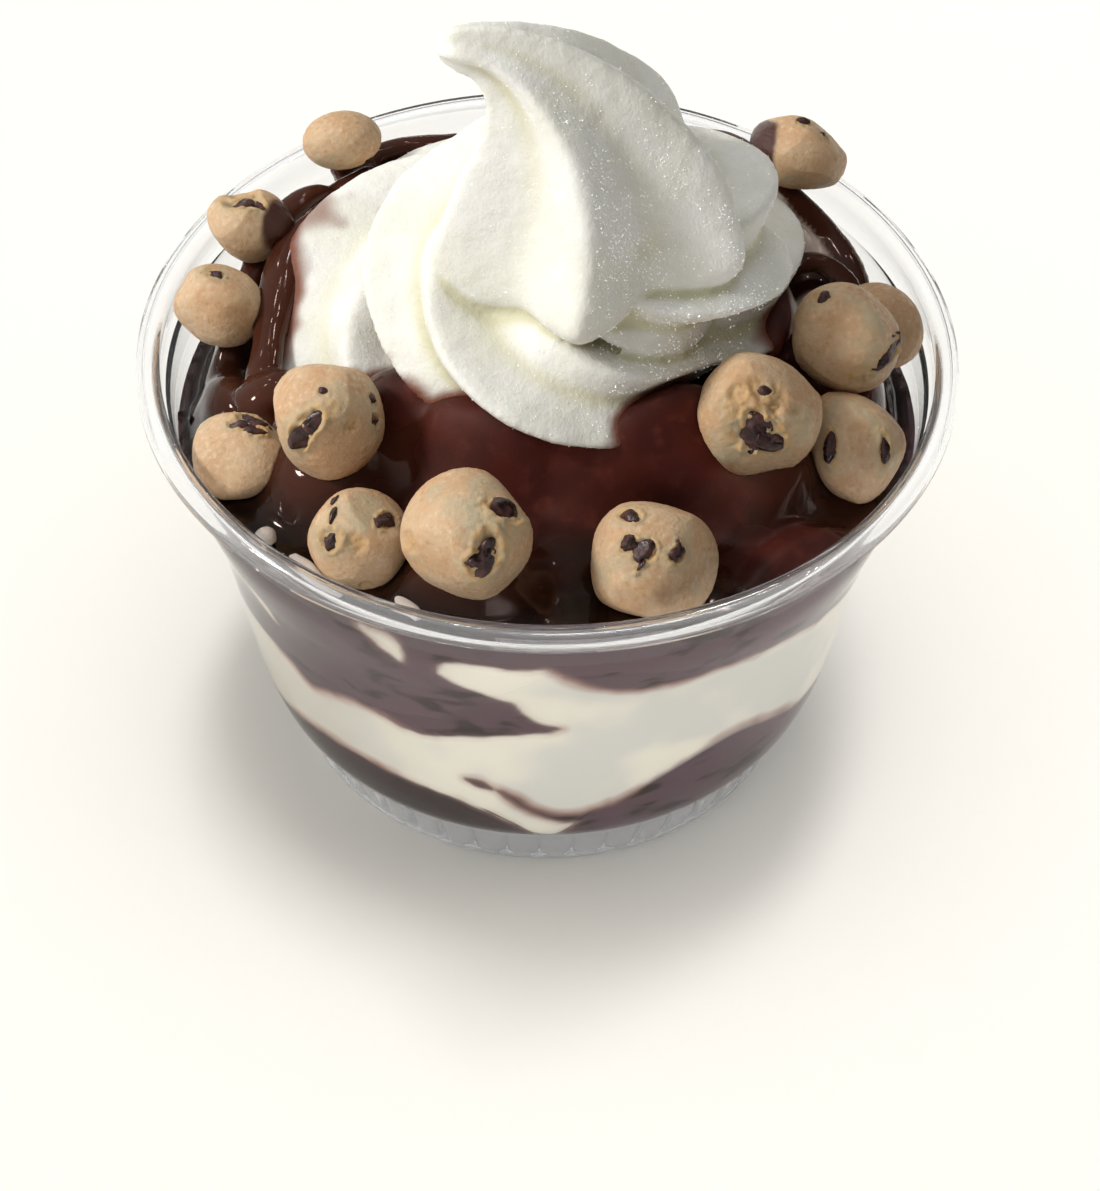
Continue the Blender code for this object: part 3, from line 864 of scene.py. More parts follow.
# Middle x, y, z and radius of the dollop's sections, in mm, and the way that each one faces
DOLLOP = [
    (6.0, -2.5, 67.0, 9.0, (-0.20, 0.25, 1.0)),
    (5.6, -2.0, 69.8, 16.2, (-0.20, 0.25, 1.0)),
    (5.0, -1.2, 72.2, 19.2, (-0.18, 0.22, 1.0)),
    (4.5, 0.0, 75.7, 19.2, (-0.15, 0.15, 1.0)),
    (4.2, 1.0, 79.0, 18.4, (-0.12, 0.05, 1.0)),
    (4.0, 1.8, 83.0, 17.0, (-0.12, 0.0, 1.0)),
    (3.2, 2.3, 87.0, 14.8, (-0.15, 0.0, 1.0)),
    (1.6, 2.5, 91.0, 11.8, (-0.25, 0.0, 1.0)),
    (-0.8, 2.5, 94.6, 8.8, (-0.5, 0.0, 1.0)),
    (-3.8, 2.4, 97.6, 6.0, (-0.9, 0.0, 1.0)),
    (-7.4, 2.2, 99.6, 4.0, (-1.0, 0.0, 0.5)),
    (-11.0, 2.0, 100.2, 2.9, (-1.0, 0.0, 0.0)),
    (-13.0, 2.0, 99.9, 1.5, (-1.0, 0.0, -0.2)),
]
FLUTES = 5
CREST_HEADING = 266.0
DOLLOP_TWIST = 0.5  # degrees for each millimetre up


def rope_sections(stations):
    up = Vector((0, 0, ROPE_SQUASH))
    for i in range(stations + 1):
        wound = ROPE[-1][0] * i / stations
        distance, z, radius, axis_x, axis_y = through(ROPE, wound)
        heading = math.radians(ROPE_START - wound)
        out = Vector((math.cos(heading), math.sin(heading), 0))
        middle = Vector((axis_x, axis_y, z)) + out * distance
        yield middle, out, up, radius, math.radians(CREST_HEADING) - heading


def dollop_sections(stations):
    lengths = [0.0]
    for a, b in zip(DOLLOP, DOLLOP[1:]):
        lengths.append(lengths[-1] + math.dist(a[:3], b[:3]))
    rows = [(length, *row[:4], *row[4]) for length, row in zip(lengths, DOLLOP)]
    for i in range(stations + 1):
        at = lengths[-1] * i / stations
        x, y, z, radius, *aim = through(rows, at)
        lean = Vector((0, 0, 1)).rotation_difference(Vector(aim))
        crest = math.radians(CREST_HEADING + DOLLOP_TWIST * (at - lengths[2]))
        yield Vector((x, y, z)), lean @ Vector((1, 0, 0)), lean @ Vector((0, 1, 0)), radius, crest


print("rope winds", ROPE[-1][0], "degrees; dollop has", len(DOLLOP), "sections")

# %% Ropes from balls
def fluted(angle, depth, softness):
    """Share of the full radius at an angle from a crest: rounded crests with hollow valleys between."""
    return 1 - depth * (np.hypot(np.sin(angle * FLUTES / 2), softness) - softness)


def fluted_rope(name, sections, steps, depth, softness):
    """A closed rope laid through sections of (middle, side, up, radius, crest angle)."""
    sections = list(sections)
    rings = len(sections) + 1
    piece = started_from(
        bpy.ops.mesh.primitive_uv_sphere_add, name, segments=steps, ring_count=rings, radius=1
    )
    ball = points_of(piece)
    ring = np.rint(np.arccos(np.clip(ball[:, 2], -1, 1)) * rings / math.pi).astype(int)
    angle = np.arctan2(ball[:, 1], ball[:, 0])
    at = np.clip(ring - 1, 0, len(sections) - 1)
    middle, side, up = (np.array([list(section[k]) for section in sections])[at] for k in range(3))
    radius, crest = (np.array([section[k] for section in sections])[at] for k in (3, 4))
    reach = radius * fluted(angle - crest, depth, softness)
    reach[(ring == 0) | (ring == rings)] = 0
    around = side * np.cos(angle)[:, None] + up * np.sin(angle)[:, None]
    move_points(piece, (middle + around * reach[:, None]) * MM)
    select_only(piece)
    bpy.ops.object.mode_set(mode="EDIT")
    bpy.ops.mesh.select_all(action="SELECT")
    bpy.ops.mesh.normals_make_consistent(inside=False)
    bpy.ops.object.mode_set(mode="OBJECT")
    return piece


SWIRL_VOXEL = 0.45 * MM
rope = fluted_rope("rope", rope_sections(320), 120, 0.42, 0.18)
dollop = fluted_rope("dollop", dollop_sections(160), 120, 0.38, 0.14)
swirl = remeshed(joined("soft_serve_swirl", [dollop, rope]), SWIRL_VOXEL, smoothing=2)
print("swirl points:", len(swirl.data.vertices))

# %% [markdown]
# Real soft serve isn't smooth all over. It has slow dents from the nozzle and from its own weight, and a fine
# torn grain where it dragged. Both are true relief: the points move along their normals by layers of noise.

# %% Relief of the swirl
def noise_at(points, size, seed=0.0):
    shift = Vector((seed, seed * 0.7, -seed))
    return np.array([noise.noise(Vector(p) / size + shift) for p in points])


def normals_of(piece):
    normals = np.empty(len(piece.data.vertices) * 3, np.float32)
    piece.data.vertices.foreach_get("normal", normals)
    return normals.reshape(-1, 3).astype(float)


def roughen(piece, layers):
    """Moves points along their normals by noise, as (size, depth, seed) for each layer."""
    points, normals = points_of(piece), normals_of(piece)
    height = sum(depth * noise_at(points, size, seed) for size, depth, seed in layers)
    move_points(piece, points + normals * height[:, None])


def paint_hollows(piece, deep, passes=70):
    """Paints how hollow the surface is: how far a much softened copy of the piece lies outside it."""
    softened = piece.copy()
    softened.data = piece.data.copy()
    bpy.context.scene.collection.objects.link(softened)
    soften = softened.modifiers.new("soften", "SMOOTH")
    soften.factor, soften.iterations = 0.5, passes
    apply_all(softened)
    outside = ((points_of(softened) - points_of(piece)) * normals_of(piece)).sum(axis=1)
    bpy.data.objects.remove(softened)
    paint(piece, "hollow", smooth_step(0.0, deep, outside))


# How hollow each place is; the soft serve's finish paints this as shade
paint_hollows(swirl, 0.30 * MM)
roughen(swirl, [(9 * MM, 0.35 * MM, 1), (3.2 * MM, 0.13 * MM, 2), (1.1 * MM, 0.05 * MM, 3)])
smooth_by_angle(swirl)
print("swirl top at", round(points_of(swirl)[:, 2].max() / MM, 1), "mm")

# %% [markdown]
# ## The fudge on top
# Warm fudge is poured on cold soft serve: it runs off, gathers in pools and domed lumps against the cup,
# banks up round each ball and leaves strands where it was trailed. The body is again a layer made from a
# ball, with its top shaped by a height for each place: a level at the wall, a mound up the front of the
# swirl, lumps, and a bank to each ball. The strands are thin ropes laid on top. One skin round body and
# strands then gives the rounded joins that a thick liquid has.

# %% Surface of the fudge
# Level of the fudge at the wall, as (heading, height in mm)
FUDGE_LEVEL = [
    (180, 46.8), (192, 48.0), (205, 50.5), (225, 51.0), (245, 50.8), (262, 51.0), (280, 51.3), (300, 50.8),
    (320, 50.3), (340, 48.8), (360, 47.0), (380, 46.0), (405, 45.3), (435, 46.5), (455, 48.5), (468, 50.5),
    (482, 50.8), (495, 49.5), (510, 47.8), (525, 46.6), (540, 46.8),
]
COIL_AXIS = (1.0 * MM, 2.5 * MM)
MOUND_TOP = 62.5 * MM
MOUND_REACH = (23.0 * MM, 34.0 * MM)
MOUND_HEADING = 265.0
MOUND_SPREAD = (45.0, 80.0)
COIL_BED = 4.0 * MM
# Rounded lumps as (x, y, half-length, half-width, turn in degrees, rise), in mm
LUMPS = [
    (-37.4, -5.4, 8.4, 5.8, 96, 7.6),
    (-31.5, 3.0, 9.0, 3.0, 88, 5.5),
    (-7.5, -22.5, 10.0, 8.0, 75, 2.6),
    (16.0, -18.0, 11.0, 5.4, 26, 3.2),
    (-14.2, -12.8, 3.6, 2.8, 30, 1.6),
    (2.0, -31.0, 12.0, 4.5, 4, 2.0),
    (30.0, -29.5, 9.0, 5.0, 42, 2.8),
    (27.5, 4.0, 8.0, 4.5, 80, 5.5),
    (32.0, 16.0, 10.0, 7.5, 95, 10.0),
    (24.0, 29.0, 13.0, 8.0, 128, 10.0),
    (-27.5, 28.5, 12.0, 4.5, 45, 4.5),
    (-8.0, 39.5, 14.0, 4.0, 4, 3.0),
]
BEHIND_LAP = 0.06 * MM
fudge_level = flat_line(FUDGE_LEVEL)
BALLS = sorted(name for name in frame["nodes"] if name.startswith("dough_ball_"))


def short_name(name):
    """A ball's name without what all balls' names start with."""
    return name.removeprefix("dough_ball_")


def ball_place(name):
    """Middle and radius of a ball of the frame."""
    low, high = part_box(name)
    return (low + high) / 2, sum(high - low) / 6


def fudge_top_height(x, y):
    """The height of the fudge's top at each place."""
    headings = np.degrees(np.arctan2(y, x)) % 360
    level = wall_height(fudge_level, headings)
    away_x, away_y = x - COIL_AXIS[0], y - COIL_AXIS[1]
    aside = degrees_apart(np.degrees(np.arctan2(away_y, away_x)), MOUND_HEADING)
    front = 1 - smooth_step(*MOUND_SPREAD, aside)
    climb = 1 - smooth_step(*MOUND_REACH, np.hypot(away_x, away_y))
    z = level + climb * ((MOUND_TOP - level) * front + COIL_BED * (1 - front))
    lumps_off_wall = 1 - smooth_step(40.5 * MM, 44.5 * MM, np.hypot(x, y))
    banks_off_wall = 1 - smooth_step(39 * MM, 42.5 * MM, np.hypot(x, y))
    for lump_x, lump_y, long, wide, turn, rise in LUMPS:
        c, s = cos_sin(turn)
        dx, dy = x / MM - lump_x, y / MM - lump_y
        away = np.hypot((dx * c + dy * s) / long, (dy * c - dx * s) / wide)
        z = z + rise * MM * lumps_off_wall * np.maximum(0, 1 - away**2) ** 0.75
    for ball in BALLS:
        middle, radius = ball_place(ball)
        away = np.hypot(x - middle.x, y - middle.y) / radius
        bank = middle.z - 0.62 * radius
        z = z + np.maximum(0, bank - z) * banks_off_wall * (1 - smooth_step(0.6, 1.5, away))
    return z


fudge_body = layer("fudge_body", cream_high, fudge_top_height, 110, 60, 10, steps=300, inset=BEHIND_LAP)
print("fudge body:", len(fudge_body.data.vertices), "points")

# %% Strands of fudge
# Each strand as places of (x, y, z, radius), in mm, where z can be left to the top of the swirl below
ON_COIL = None
STRANDS = {
    "left_flank": [
        (-33.5, -16.0, 53.0, 2.6), (-33.6, -9.0, 55.6, 2.4), (-33.2, -1.0, 57.0, 2.3),
        (-32.6, 6.0, 57.8, 2.6), (-31.8, 11.5, 58.6, 2.6), (-30.6, 16.2, 59.4, 2.0), (-28.4, 20.0, 60.6, 0.9),
    ],
    "left_band": [
        (-36.0, -9.6, 55.0, 3.0), (-33.2, -9.0, ON_COIL, 2.8), (-30.3, -8.0, ON_COIL, 2.6),
        (-27.4, -7.2, ON_COIL, 2.2), (-24.6, -7.0, ON_COIL, 1.7), (-22.4, -7.4, ON_COIL, 1.0),
    ],
    "beside_left_upper": [
        (-36.8, 12.0, 53.0, 1.6), (-35.6, 17.0, 55.4, 1.9), (-33.4, 22.0, 56.6, 1.8),
        (-30.6, 25.8, 57.2, 1.7), (-27.6, 28.4, 57.0, 1.2),
    ],
    "rear_left": [
        (-27.0, 33.6, 54.5, 1.8), (-22.0, 36.6, 55.6, 1.8), (-16.5, 38.8, 55.6, 1.7),
        (-10.5, 40.6, 54.6, 1.8), (-4.0, 41.4, 52.8, 1.8),
    ],
    "rear_right": [
        (10.0, 39.0, 52.5, 1.8), (15.0, 40.0, 55.4, 2.0), (19.8, 39.4, 56.6, 2.0), (23.4, 37.0, 57.0, 2.1),
        (26.4, 33.4, 56.8, 2.1), (29.4, 29.4, 56.2, 2.2), (32.4, 25.4, 55.4, 2.2), (35.0, 21.4, 54.8, 2.2),
        (36.8, 17.2, 54.0, 2.1), (37.6, 12.5, 53.0, 2.0), (37.4, 8.0, 52.0, 2.0),
    ],
    "right_loop": [
        (28.0, 11.4, 58.0, 1.2), (29.8, 13.8, 58.6, 1.7), (32.6, 14.8, 58.0, 1.8), (35.4, 13.4, 56.8, 1.8),
        (37.0, 10.4, 55.0, 1.8),
    ],
    "right_edge": [
        (24.5, -5.5, 59.0, 1.6), (26.2, -0.5, 59.6, 2.4), (26.8, 5.0, 59.0, 2.4), (27.4, 10.5, 57.6, 1.4),
    ],
}
STRAND_SQUASH = 0.62


def laid_down(places):
    """Places with each height that was left open set just inside the swirl's surface."""
    for x, y, z, radius in places:
        if z is ON_COIL:
            hit = swirl_tree.ray_cast(Vector((x, y, 68)) * MM, Vector((0, 0, -1)))[0]
            z = hit.z / MM - 0.2 * radius if hit else 57.0
        yield x, y, z, radius


def strand(name, places, steps=14):
    """A thin rope through places of (x, y, z, radius)."""
    course = curve_through(list(laid_down(places)), 8)
    ahead = np.gradient(course[:, :3], axis=0)
    sections = []
    for place, way in zip(course, ahead):
        way = Vector(way).normalized()
        side = way.cross(Vector((0, 0, 1))).normalized()
        sections.append((Vector(place[:3]), side, side.cross(way) * STRAND_SQUASH, place[3], 0.0))
    return fluted_rope(name, sections, steps, 0.0, 1.0)


swirl_tree = tree_of(swirl)
strands = [strand(name, places) for name, places in STRANDS.items()]
print("strands:", len(strands))

# %% One skin of fudge
FUDGE_VOXEL = 0.54 * MM
STRAYS_BY = FUDGE_VOXEL + 0.01 * MM  # how far off the wall a point of the new skin can lie
WALL_LETS_GO = (51.5 * MM, 54.0 * MM)  # above these heights the fudge stands free of the wall
fudge = remeshed(joined("fudge_top_layer", [fudge_body, *strands]), FUDGE_VOXEL, smoothing=5)


def press_to_wall(piece, within):
    """Draws the points near the wall smoothly against it again, since a new skin strays a little."""
    points = points_of(piece)
    radius = np.hypot(points[:, 0], points[:, 1])
    wall = wall_radius(points[:, 2]) - BEHIND_LAP
    share = smooth_step(-2.2 * within, -within, radius - wall)
    share *= 1 - smooth_step(*WALL_LETS_GO, points[:, 2])
    points[:, :2] *= (1 + share * (wall / np.maximum(radius, MM) - 1))[:, None]
    move_points(piece, points)
    return int((share > 0).sum())


print("points set to the wall:", press_to_wall(fudge, STRAYS_BY))
roughen(fudge, [(7 * MM, 0.34 * MM, 5), (2.6 * MM, 0.05 * MM, 6)])
press_to_wall(fudge, STRAYS_BY)
paint_side(fudge)
smooth_by_angle(fudge)

# %% [markdown]
# Fudge is nearly black where it is thick and wet, and reddish brown where it lies as a thin chilled coat over
# the ice cream. The coat has also lost its gloss. So the finish blends two looks by a painted share. A second
# painted share makes it pale where melted cream has run over it, and at the wall it gives way to the look of
# the sides.

# %% Finish of the fudge
# Places of (x, y, half-width, half-depth), in mm: chilled coats, then fudge under melted cream
COATS = [(-5, -23, 13, 10), (9, -21, 15, 9), (-15, -13, 6, 5), (29, -30, 9, 6), (27, 3, 5, 8)]
CREAMED = [(30.5, 19, 8, 10), (24, 27, 7, 8)]
DARK_RIBBONS = ("rear_right", "right_loop")  # strands that lie over the melted cream


def paint_places(piece, name, places, start=0.55, where=1.0):
    """Paints ragged patches at the places, each full out to the start share of its size."""
    points = points_of(piece)
    ragged = 1 + 0.35 * noise_at(points, 3.5 * MM, 15)
    share = np.zeros(len(points))
    for x, y, wide, deep in places:
        away = np.hypot((points[:, 0] / MM - x) / wide, (points[:, 1] / MM - y) / deep)
        share = np.maximum(share, 1 - smooth_step(start, 1.15, away * ragged))
    paint(piece, name, share * where)


FUDGE_DEEP, FUDGE_BROWN = colour(9, 4, 2), colour(60, 30, 20)
COAT_DARK, COAT_LIGHT, COAT_VEIN = colour(50, 15, 10), colour(70, 24, 18), colour(92, 42, 34)
CREAM_OVER_FUDGE = colour(214, 196, 182)


def make_fudge():
    material, shader = new_finish("fudge", IOR=1.45)
    shader.inputs["Specular IOR Level"].default_value = 0.28
    shader.inputs["Specular Tint"].default_value = (1.0, 0.80, 0.72, 1)
    clouds, veins = grain(material, 9 * MM, detail=2), grain(material, 2.4 * MM, detail=3)
    coat = product(material, painted(material, "coat"), ramp(material, clouds, 0.20, 0.42))
    # Browner in cloudy patches and higher up, from 50 to 57 mm
    raised = ramp(material, place_on(material)["Z"], 50 * MM, 57 * MM)
    browner = larger(material, ramp(material, clouds, 0.42, 0.66, 0.0, 0.6), raised)
    wet = blend_colours(material, browner, FUDGE_DEEP, FUDGE_BROWN)
    chilled = blend_colours(material, ramp(material, clouds, 0.35, 0.7), COAT_DARK, COAT_LIGHT)
    streaked = blend_colours(material, ramp(material, veins, 0.50, 0.80, 0.0, 0.5), chilled, COAT_VEIN)
    coated = blend_colours(material, coat, wet, streaked)
    open_colour = blend_colours(material, painted(material, "creamed"), coated, CREAM_OVER_FUDGE)
    wall = painted(material, "at_wall")
    link(material, blend_colours(material, wall, open_colour, side_colour(material)), shader, "Base Color")
    roughness = ramp(material, coat, 0.0, 1.0, 0.08, 0.60)
    rough_wall = add_node(material, "Mix", {0: wall, 2: roughness, 3: 0.5}, data_type="FLOAT").outputs[0]
    link(material, rough_wall, shader, "Roughness")
    fine = grain(material, 0.5 * MM, detail=2)
    relief(material, shader, product(material, fine, coat), 0.03 * MM)
    return material


def away_from_strands(piece, names):
    """How far each point lies from the nearest of these strands, seen from above."""
    courses = [curve_through(STRANDS[name], 8)[:, :2] * MM for name in names]
    return np.min([distance_to(course, points_of(piece)[:, :2])[0] for course in courses], axis=0)


paint_places(fudge, "coat", COATS)
beside_ribbons = smooth_step(1.4 * MM, 2.2 * MM, away_from_strands(fudge, DARK_RIBBONS))
paint_places(fudge, "creamed", CREAMED, 0.6, beside_ribbons)
finish_piece(fudge, make_fudge(), "fudge", "fudge_top")
share_more_light(fill, fudge)

# %% [markdown]
# Soft serve is white with a hint of cream, lets light sink in a little, and is full of fine ice. Grain makes
# the surface frosty, and where it touches fudge the two run together in a brown edge. Its hollows are painted
# darker and yellower, as painted shade.

# %% Finish of the swirl
# Stained spots as (x, y, z, reach), in mm
STAINS = [(-29, 19, 61, 5.5), (-25, -7, 62, 3.5), (-18, -9, 62, 4.0), (32, 18, 58, 4.0)]


def away_from_fudge(points, reach):
    """How far each point lies from the fudge, up to a reach."""
    return np.array([fudge_tree.find_nearest(Vector(p), reach)[3] or reach for p in points])


def paint_stain(piece, reach):
    """Paints how brown the piece is, from its distance to the fudge and from the stained spots."""
    points = points_of(piece)
    away = away_from_fudge(points, reach * 3)
    patchy = 1 + 0.7 * noise_at(points, 3 * MM, 8)
    stain = 1 - smooth_step(0.1 * MM, reach, away * patchy)
    for x, y, z, far in STAINS:
        spot = np.linalg.norm(points / MM - (x, y, z), axis=1) / far * patchy
        stain = np.maximum(stain, 0.75 * (1 - smooth_step(0.2, 1.0, spot)))
    paint(piece, "stain", stain)


fudge_tree = tree_of(fudge)
paint_stain(swirl, 1.5 * MM)


CREAM_WHITE, CREAM_PALE = colour(238, 237, 232), colour(232, 231, 221)
# Painted shade in the hollows, and the brown of fudge stains
CREAM_PAINTED_SHADE_IN_HOLLOWS, CREAM_STAINED = colour(206, 202, 166), colour(128, 78, 60)


def make_soft_serve():
    material, shader = new_finish(
        "soft_serve", Roughness=0.46, IOR=1.36,
        Subsurface_Weight=0.10, Subsurface_Radius=(1.2 * MM, 1.0 * MM, 0.7 * MM), Subsurface_Scale=1.0,
    )
    clouds = grain(material, 8 * MM, detail=3)
    cream = blend_colours(material, ramp(material, clouds, 0.38, 0.64), CREAM_WHITE, CREAM_PALE)
    # Painted shade: the hollows turn darker and yellower
    hollow = product(material, painted(material, "hollow"), 0.8)
    shaded_in_hollows = blend_colours(material, hollow, cream, CREAM_PAINTED_SHADE_IN_HOLLOWS)
    stained = blend_colours(material, painted(material, "stain"), shaded_in_hollows, CREAM_STAINED)
    link(material, stained, shader, "Base Color")
    ice = grain(material, 0.42 * MM, detail=4, roughness=0.65)
    link(material, ramp(material, ice, 0.52, 0.66, 0.50, 0.24), shader, "Roughness")
    under = relief(material, shader, grain(material, 1.6 * MM, detail=3), 0.16 * MM)
    relief(material, shader, ice, 0.10 * MM, under)
    return material


soft_serve = make_soft_serve()
finish_piece(swirl, soft_serve, "soft_serve", "ice_cream_swirl")

# %% [markdown]
# ## Balls of cookie dough
# Dough that was rolled in bulk isn't round: each piece has soft flats where it lay against others, a grain of
# flour and sugar, and chips of chocolate that sit in small torn craters. Each ball starts as an icosphere,
# whose even triangles take relief well. Its points are then moved: first to rounded flats, then into the
# craters, then by fine noise.
# A ball's marks are given as seen from the front and above, where right and up are shares of its radius. So
# they can be read off a real sundae, whatever way the ball lies.

# %% Marks of each ball
VIEW_RIGHT = np.array([1.0, 0.0, 0.0])
VIEW_UP = np.array([0.0, math.sin(CAMERA_LOOKS_DOWN), math.cos(CAMERA_LOOKS_DOWN)])
VIEW_OUT = np.cross(VIEW_RIGHT, VIEW_UP)
# Chips as (right, up, half-length, half-width, turn in degrees), in shares of the radius
CHIPS = {
    "left_upper": [(-0.10, 0.66, 0.34, 0.24, 8), (0.30, 0.52, 0.16, 0.10, -30)],
    "left": [(-0.08, 0.80, 0.19, 0.13, 5)],
    "left_lower": [
        (0.22, 0.86, 0.33, 0.22, -20), (-0.16, 0.72, 0.20, 0.13, 5), (0.20, 0.66, 0.26, 0.13, -10),
    ],
    "front_left_upper": [
        (-0.34, -0.20, 0.36, 0.17, 42), (-0.47, -0.36, 0.22, 0.15, 60), (-0.20, -0.12, 0.16, 0.12, 20),
        (-0.08, 0.42, 0.07, 0.05, 0), (0.80, 0.40, 0.09, 0.08, 30), (0.83, -0.02, 0.10, 0.10, 0),
        (-0.90, -0.14, 0.08, 0.06, 60),
    ],
    "front_left_lower": [
        (-0.50, -0.02, 0.21, 0.19, 55), (-0.43, 0.38, 0.15, 0.06, 80), (0.58, 0.40, 0.26, 0.15, 12),
        (0.40, 0.30, 0.11, 0.08, 60), (-0.42, 0.64, 0.12, 0.04, 80),
    ],
    "front_middle": [
        (0.27, -0.30, 0.31, 0.22, 68), (0.08, -0.38, 0.14, 0.12, 20), (0.62, 0.38, 0.26, 0.20, -28),
    ],
    "front_right": [
        (-0.34, 0.68, 0.18, 0.11, -8), (-0.40, 0.24, 0.15, 0.13, 20), (-0.11, 0.13, 0.18, 0.16, 40),
        (-0.17, -0.10, 0.10, 0.035, 50), (0.44, 0.08, 0.15, 0.12, 60), (0.45, 0.24, 0.05, 0.10, 10),
    ],
    "right_front": [
        (0.14, -0.46, 0.38, 0.25, -16), (-0.04, -0.16, 0.15, 0.17, 50), (-0.08, -0.62, 0.16, 0.10, 60),
        (0.14, 0.33, 0.09, 0.08, 0), (0.38, -0.58, 0.16, 0.12, -60),
    ],
    "right_upper": [
        (-0.42, 0.66, 0.17, 0.13, -20), (0.74, -0.34, 0.30, 0.17, 62), (0.95, -0.02, 0.15, 0.12, 60),
    ],
    "right_lower": [(0.58, -0.04, 0.26, 0.10, -80), (-0.52, -0.04, 0.26, 0.13, 80)],
    "rear_right": [(0.12, 0.72, 0.14, 0.10, 0), (0.62, 0.42, 0.08, 0.05, 0)],
}
# Torn hollows with no chip, as (right, up, radius, depth), in shares of the radius
HOLLOWS = {
    "left_upper": [(-0.15, 0.80, 0.55, 0.20)],
    "front_left_upper": [(-0.26, 0.02, 0.24, 0.035), (0.45, -0.12, 0.20, 0.03)],
    "front_left_lower": [(0.02, -0.06, 0.20, 0.05), (0.16, -0.92, 0.14, 0.10)],
    "front_middle": [(-0.92, -0.10, 0.22, 0.05)],
    "right_front": [
        (0.0, 0.05, 0.62, 0.07), (-0.30, 0.25, 0.16, 0.06), (0.34, 0.05, 0.14, 0.06),
        (0.02, 0.36, 0.22, 0.05),
    ],
    "right_upper": [(0.2, -0.75, 0.3, 0.03)],
}
# Longer balls, as (share longer, share lower, turn in degrees)
STRETCHED = {
    "rear_left": (1.16, 0.86, 8), "rear_right": (1.12, 0.88, -20), "right_upper": (1.13, 0.93, -32),
    "right_ledge": (1.10, 0.96, -50), "left_lower": (1.04, 0.96, -60), "left": (1.06, 0.95, -25),
    "left_upper": (1.04, 0.92, -20), "right_lower": (1.08, 0.96, -70),
}


def on_view(right, up):
    """The direction out of a ball at a place of its side that is seen."""
    out = math.sqrt(max(0.0, 1 - right * right - up * up))
    way = right * VIEW_RIGHT + up * VIEW_UP + out * VIEW_OUT
    return way / np.linalg.norm(way)


def axes_on_view(right, up):
    """The way out at a place of the seen side, and the ways to its right and up along the surface."""
    out = on_view(right, up)
    side = np.cross(VIEW_UP, out)
    side /= np.linalg.norm(side)
    return out, side, np.cross(out, side)


def mark_share(ways, right, up, long, wide, turn):
    """How far each direction is from a mark's middle, where 1 is on its edge."""
    middle, side, rise = axes_on_view(right, up)
    c, s = cos_sin(turn)
    along, across = ways @ side, ways @ rise
    away = np.hypot((along * c + across * s) / long, (across * c - along * s) / wide)
    return np.where(ways @ middle > 0, away, 99.0)


print("chips:", sum(len(marks) for marks in CHIPS.values()))

# %% Dough balls
# With this many flats drawn at random, rear_left gets a patch low on its inner side that none of them faces.
# The 161 points there have no distance and so no valid place, and the rest of that ball stays plain.
BALL_FLATS = 16


def unit(ways):
    return ways / np.linalg.norm(ways, axis=1)[:, None]


def random_ways(seed, count):
    return unit(np.random.default_rng(seed).normal(size=(count, 3)))


def rounded_flats(ways, flats, distances, sharpness):
    """Distance out to a solid with rounded flats, for each direction that at least one flat faces."""
    facing = np.maximum(ways @ flats.T, 0) / distances
    return np.sum(facing**sharpness, axis=1) ** (-1 / sharpness)


def dough_ball(name, seed):
    """A ball of dough in the place of a node, with its flats, craters and hollows."""
    short = short_name(name)
    middle, radius = ball_place(name)
    piece = started_from(bpy.ops.mesh.primitive_ico_sphere_add, f"dough_{short}", subdivisions=6, radius=1)
    ways = unit(points_of(piece))
    flats = random_ways(seed, BALL_FLATS)
    distances = np.random.default_rng(seed + 50).uniform(0.90, 1.04, BALL_FLATS)
    reach = rounded_flats(ways, flats, distances, 9)
    reach = 1 + 0.62 * (reach / reach.mean() - 1) + 0.05 * noise_at(ways, 0.9, seed)
    shape = ways * np.clip(reach, 0.80, 1.07)[:, None]
    milk, crumb = np.zeros(len(ways)), np.zeros(len(ways))
    patches = noise_at(ways, 0.34, seed + 3)
    for right, up, long, wide, turn in CHIPS.get(short, []):
        away = mark_share(ways, right, up, long, wide, turn) * (1 + 0.35 * patches)
        pressed = 1 - smooth_step(0.80, 1.30, away)
        lifted = smooth_step(0.9, 1.25, away) * (1 - smooth_step(1.25, 1.7, away))
        shape += ways * (0.022 * lifted - 0.10 * min(1, 3 * wide) * pressed)[:, None]
        milk = np.maximum(milk, 1 - smooth_step(1.1, 2.4, away + 0.5 * patches))
        crumb = np.maximum(crumb, 1 - smooth_step(1.2, 1.9, away))
    for right, up, wide, depth in HOLLOWS.get(short, []):
        away = mark_share(ways, right, up, wide, wide, 0) * (1 + 0.5 * patches)
        pressed = 1 - smooth_step(0.45, 1.0, away)
        shape -= ways * (depth * pressed)[:, None]
        crumb = np.maximum(crumb, pressed)
    fine = noise_at(ways, 0.30, seed + 1) * 0.010 + noise_at(ways, 0.11, seed + 2) * 0.007
    torn = noise_at(ways, 0.20, seed + 4) * 0.045 + noise_at(ways, 0.09, seed + 5) * 0.035
    torn += noise_at(ways, 0.045, seed + 7) * 0.022
    shape += ways * (fine + noise_at(ways, 0.04, seed + 6) * 0.007 - torn * crumb)[:, None]
    if short in STRETCHED:
        longer, lower, turn = STRETCHED[short]
        c, s = cos_sin(turn)
        along, across = VIEW_RIGHT * c + VIEW_UP * s, VIEW_UP * c - VIEW_RIGHT * s
        more_along = np.outer(shape @ along, along) * (longer - 1)
        more_across = np.outer(shape @ across, across) * (lower - 1)
        shape += more_along + more_across
    move_points(piece, np.array(middle) + shape * radius)
    paint(piece, "milk", milk)
    paint(piece, "crumb", crumb)
    select_only(piece)
    smooth_by_angle(piece)
    return piece


